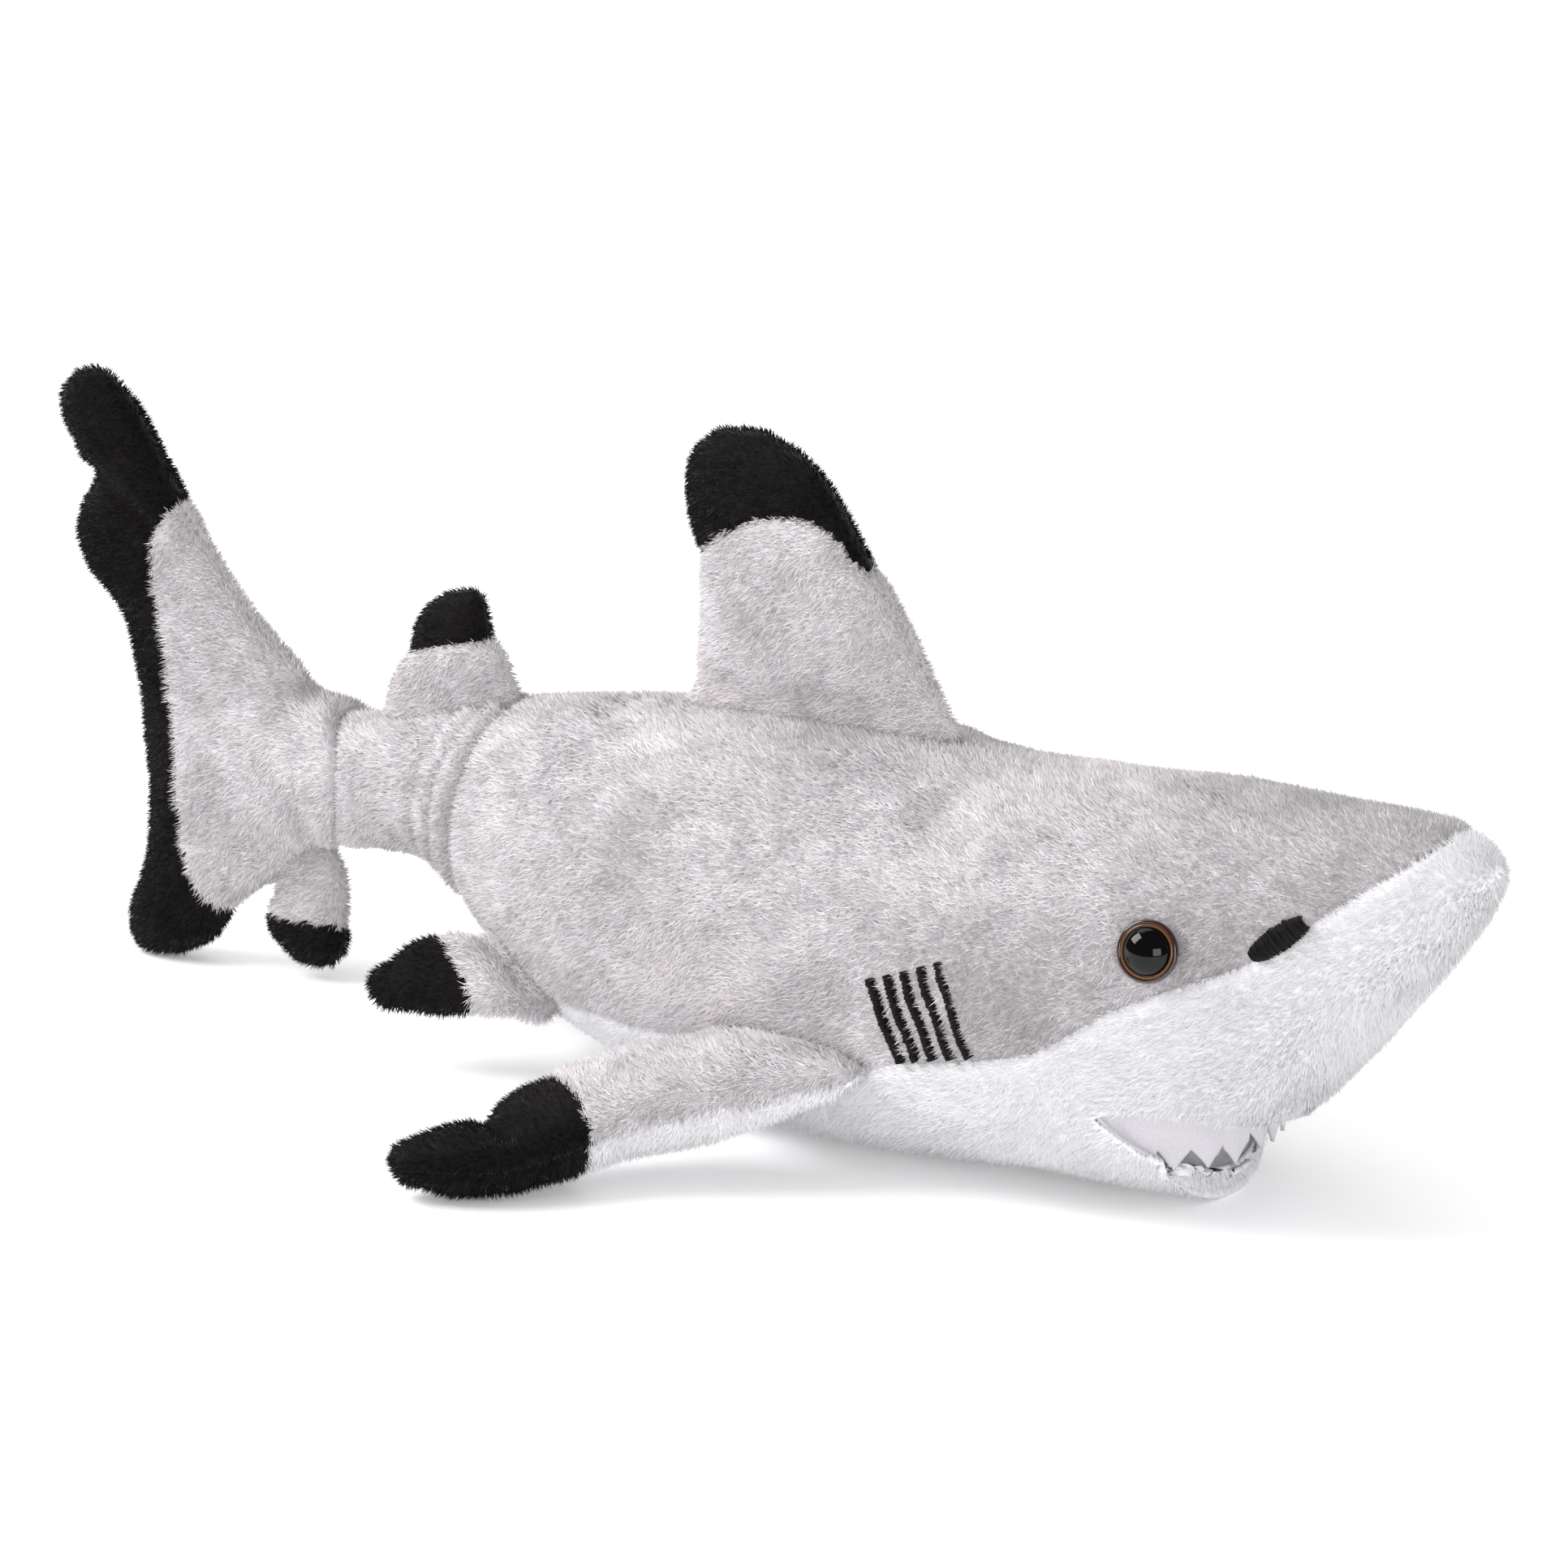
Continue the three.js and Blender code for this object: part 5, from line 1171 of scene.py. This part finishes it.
# the rest of it runs round under the chin
chin = trunk_pt(np.full(400, 116.3), np.linspace(math.pi / 2, -math.pi / 2, 400))
chin = chin[(chin[:, 2] < 10.2) & (chin[:, 1] > 0.3)]
chin = np.concatenate([chin, [[116.3, 0, chin[-1, 2]]]]) + [-1.7, 0, 0.1]
lower = jaw_round(np.concatenate([lower, chin]))
nU = 50
U, Lw = even(upper, nU), even(lower, nU)
U = np.concatenate([U, (U * [1, -1, 1])[:-1][::-1]])
Lw = np.concatenate([Lw, (Lw * [1, -1, 1])[:-1][::-1]])
tt = np.linspace(0, 1, len(U))
deep = 11.5 * np.sin(math.pi * tt) ** 0.8 + 1.5
cen = np.array([96.0, 0, 0])
cols = []
for v_ in np.linspace(0, 1, 22):
    inU = unit((cen - U) * [1, 1, 0])
    inL = unit((cen - Lw) * [1, 1, 0])
    c1, c2 = U + inU * deep[:, None] * 1.2 + [0, 0, 0.6], Lw + inL * deep[:, None] * 1.1 + [0, 0, -0.6]
    cols.append((1 - v_) ** 3 * U + 3 * v_ * (1 - v_) ** 2 * c1 + 3 * v_ * v_ * (1 - v_) * c2 + v_**3 * Lw)
G = np.array(cols).transpose(1, 0, 2)
n0, m0 = G.shape[:2]
idx = np.arange(n0 * m0).reshape(n0, m0)
F = np.stack([idx[:-1, :-1], idx[:-1, 1:], idx[1:, 1:], idx[1:, :-1]], -1).reshape(-1, 4)
pocket = Skin(G.reshape(-1, 3), F)
nm = pocket.normals()
if ((nm * (np.array([112, 0, 20]) - pocket.V)).sum(1)).mean() < 0:
    pocket.F = pocket.F[:, ::-1]
pocket_ob = build("mouth_pocket", thick(pocket, 0.8), [felt_painted_shade])
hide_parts("mouth_lining", "jaw_lining")
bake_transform(pocket_ob)

# zig-zag strip of upper teeth
half = [(101.0, -33.4), (104.2, -32.6), (108.6, -28.2), (113, -23.6), (118.2, -16.2), (121.4, -8.2), (122.4, 0.0)]
full = np.array(half + [(x, -y) for x, y in half[:-1][::-1]])
cl = np.concatenate([[0], np.cumsum(np.hypot(*np.diff(full, axis=0).T))])
NT = 420
su = np.linspace(0, cl[-1], NT + 1)
cx, cy = table(np.column_stack([cl, full]))(su).T
cx[np.abs(cy) < 3] = np.minimum(cx[np.abs(cy) < 3], 122.4)
tx, ty = np.gradient(cx), np.gradient(cy)
ln = np.hypot(tx, ty)
ox, oy = ty / ln, -tx / ln
top = 29.6 - 4.4 * step(112, 122, cx) - 3.2 * step(106, 102, cx)
first = 17.6
ph = ((su - first) / 7.75) % 1
saw = np.minimum(ph, 1 - ph) * 2
near = np.interp(cx, [101, 104, 105.8, 109.6, 113.5, 118, 122.4], [24.4, 22.4, 18.0, 12.4, 10.9, 11.2, 11.4])
which = np.floor((su - first) / 7.75 + 0.5)
uneven = 0.9 * np.sin(2.3 * which + 0.6) * step(108, 112, cx)
zb = near + uneven + 4.6 * saw**0.85 * step(107, 111, cx)
rows = []
for v_ in np.linspace(0, 1, 14):
    z = zb + (np.maximum(top, zb + 0.6) - zb) * v_
    slack = 0.3 * np.sin(su * 0.42) * (1 - v_) + 0.55 * (1 - v_) - 0.9 * v_
    rows.append(np.stack([cx - ox * slack, cy - oy * slack, z], -1))
G = np.array(rows)
n0, m0 = G.shape[:2]
idx = np.arange(n0 * m0).reshape(n0, m0)
F = np.stack([idx[:-1, :-1], idx[:-1, 1:], idx[1:, 1:], idx[1:, :-1]], -1).reshape(-1, 4)
teeth = Skin(G.reshape(-1, 3), F)
nm = teeth.normals()
if (nm * (teeth.V - np.array([100, 0, 20])) * [1, 1, 0]).sum() < 0:
    teeth.F = teeth.F[:, ::-1]
teeth_ob = build("teeth_strip", thick(teeth, 0.9), [felt])
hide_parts("upper_teeth_strip"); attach(teeth_ob, "body")

# ---- stuffing -------------------------------------------------------------------------------------------------
fibre = cloth("fibre", (236, 235, 236), 0.10, 1.0, scale=500, bump=0.6)


def wad(node, body, shrink, voxel=2.2):
    """Loose fibre in the shape of its node: pulled in from the cloth, with lumps and tufts."""
    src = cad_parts[node]
    me = src.data
    co = np.zeros(len(me.vertices) * 3)
    me.vertices.foreach_get("co", co)
    M = np.array(src.matrix_world)
    co = (co.reshape(-1, 3) @ M[:3, :3].T + M[:3, 3]) / MM - SHIFT
    me.calc_loop_triangles()
    tri = np.zeros(len(me.loop_triangles) * 3, int)
    me.loop_triangles.foreach_get("vertices", tri)
    tri = tri.reshape(-1, 3)
    sk = remeshed("wad_tmp", [Skin(co, np.concatenate([tri, tri[:, 2:]], 1))], voxel * (1), 3)
    n = sk.normals()
    sk.V = sk.V + n * (-shrink + 0.9 * noise(sk.V, 11, 51) + 0.7 * noise(sk.V, 4.5, 52))[:, None]
    ob = build(node + "_fibre", sk, [fibre])
    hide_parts(node)
    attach(ob, body)
    return ob


for node, body, shrink in (("body_stuffing", "body", 3.0), ("jaw_stuffing", "jaw", 6.4), ("dorsal_fin_stuffing", "dorsal_fin", 1.6), ("second_dorsal_stuffing", "second_dorsal_fin", 1.3), ("tail_fin_stuffing", "tail", 1.5), ("anal_fin_stuffing", "anal_fin", 1.3), ("pectoral_fin_stuffing_right", "pectoral_fin_right", 1.5), ("pectoral_fin_stuffing_left", "pectoral_fin_left", 1.5), ("pelvic_fin_stuffing_right", "pelvic_fin_right", 1.2), ("pelvic_fin_stuffing_left", "pelvic_fin_left", 1.2)):
    wad(node, body, shrink, 2.6 if node == "body_stuffing" else 1.5)
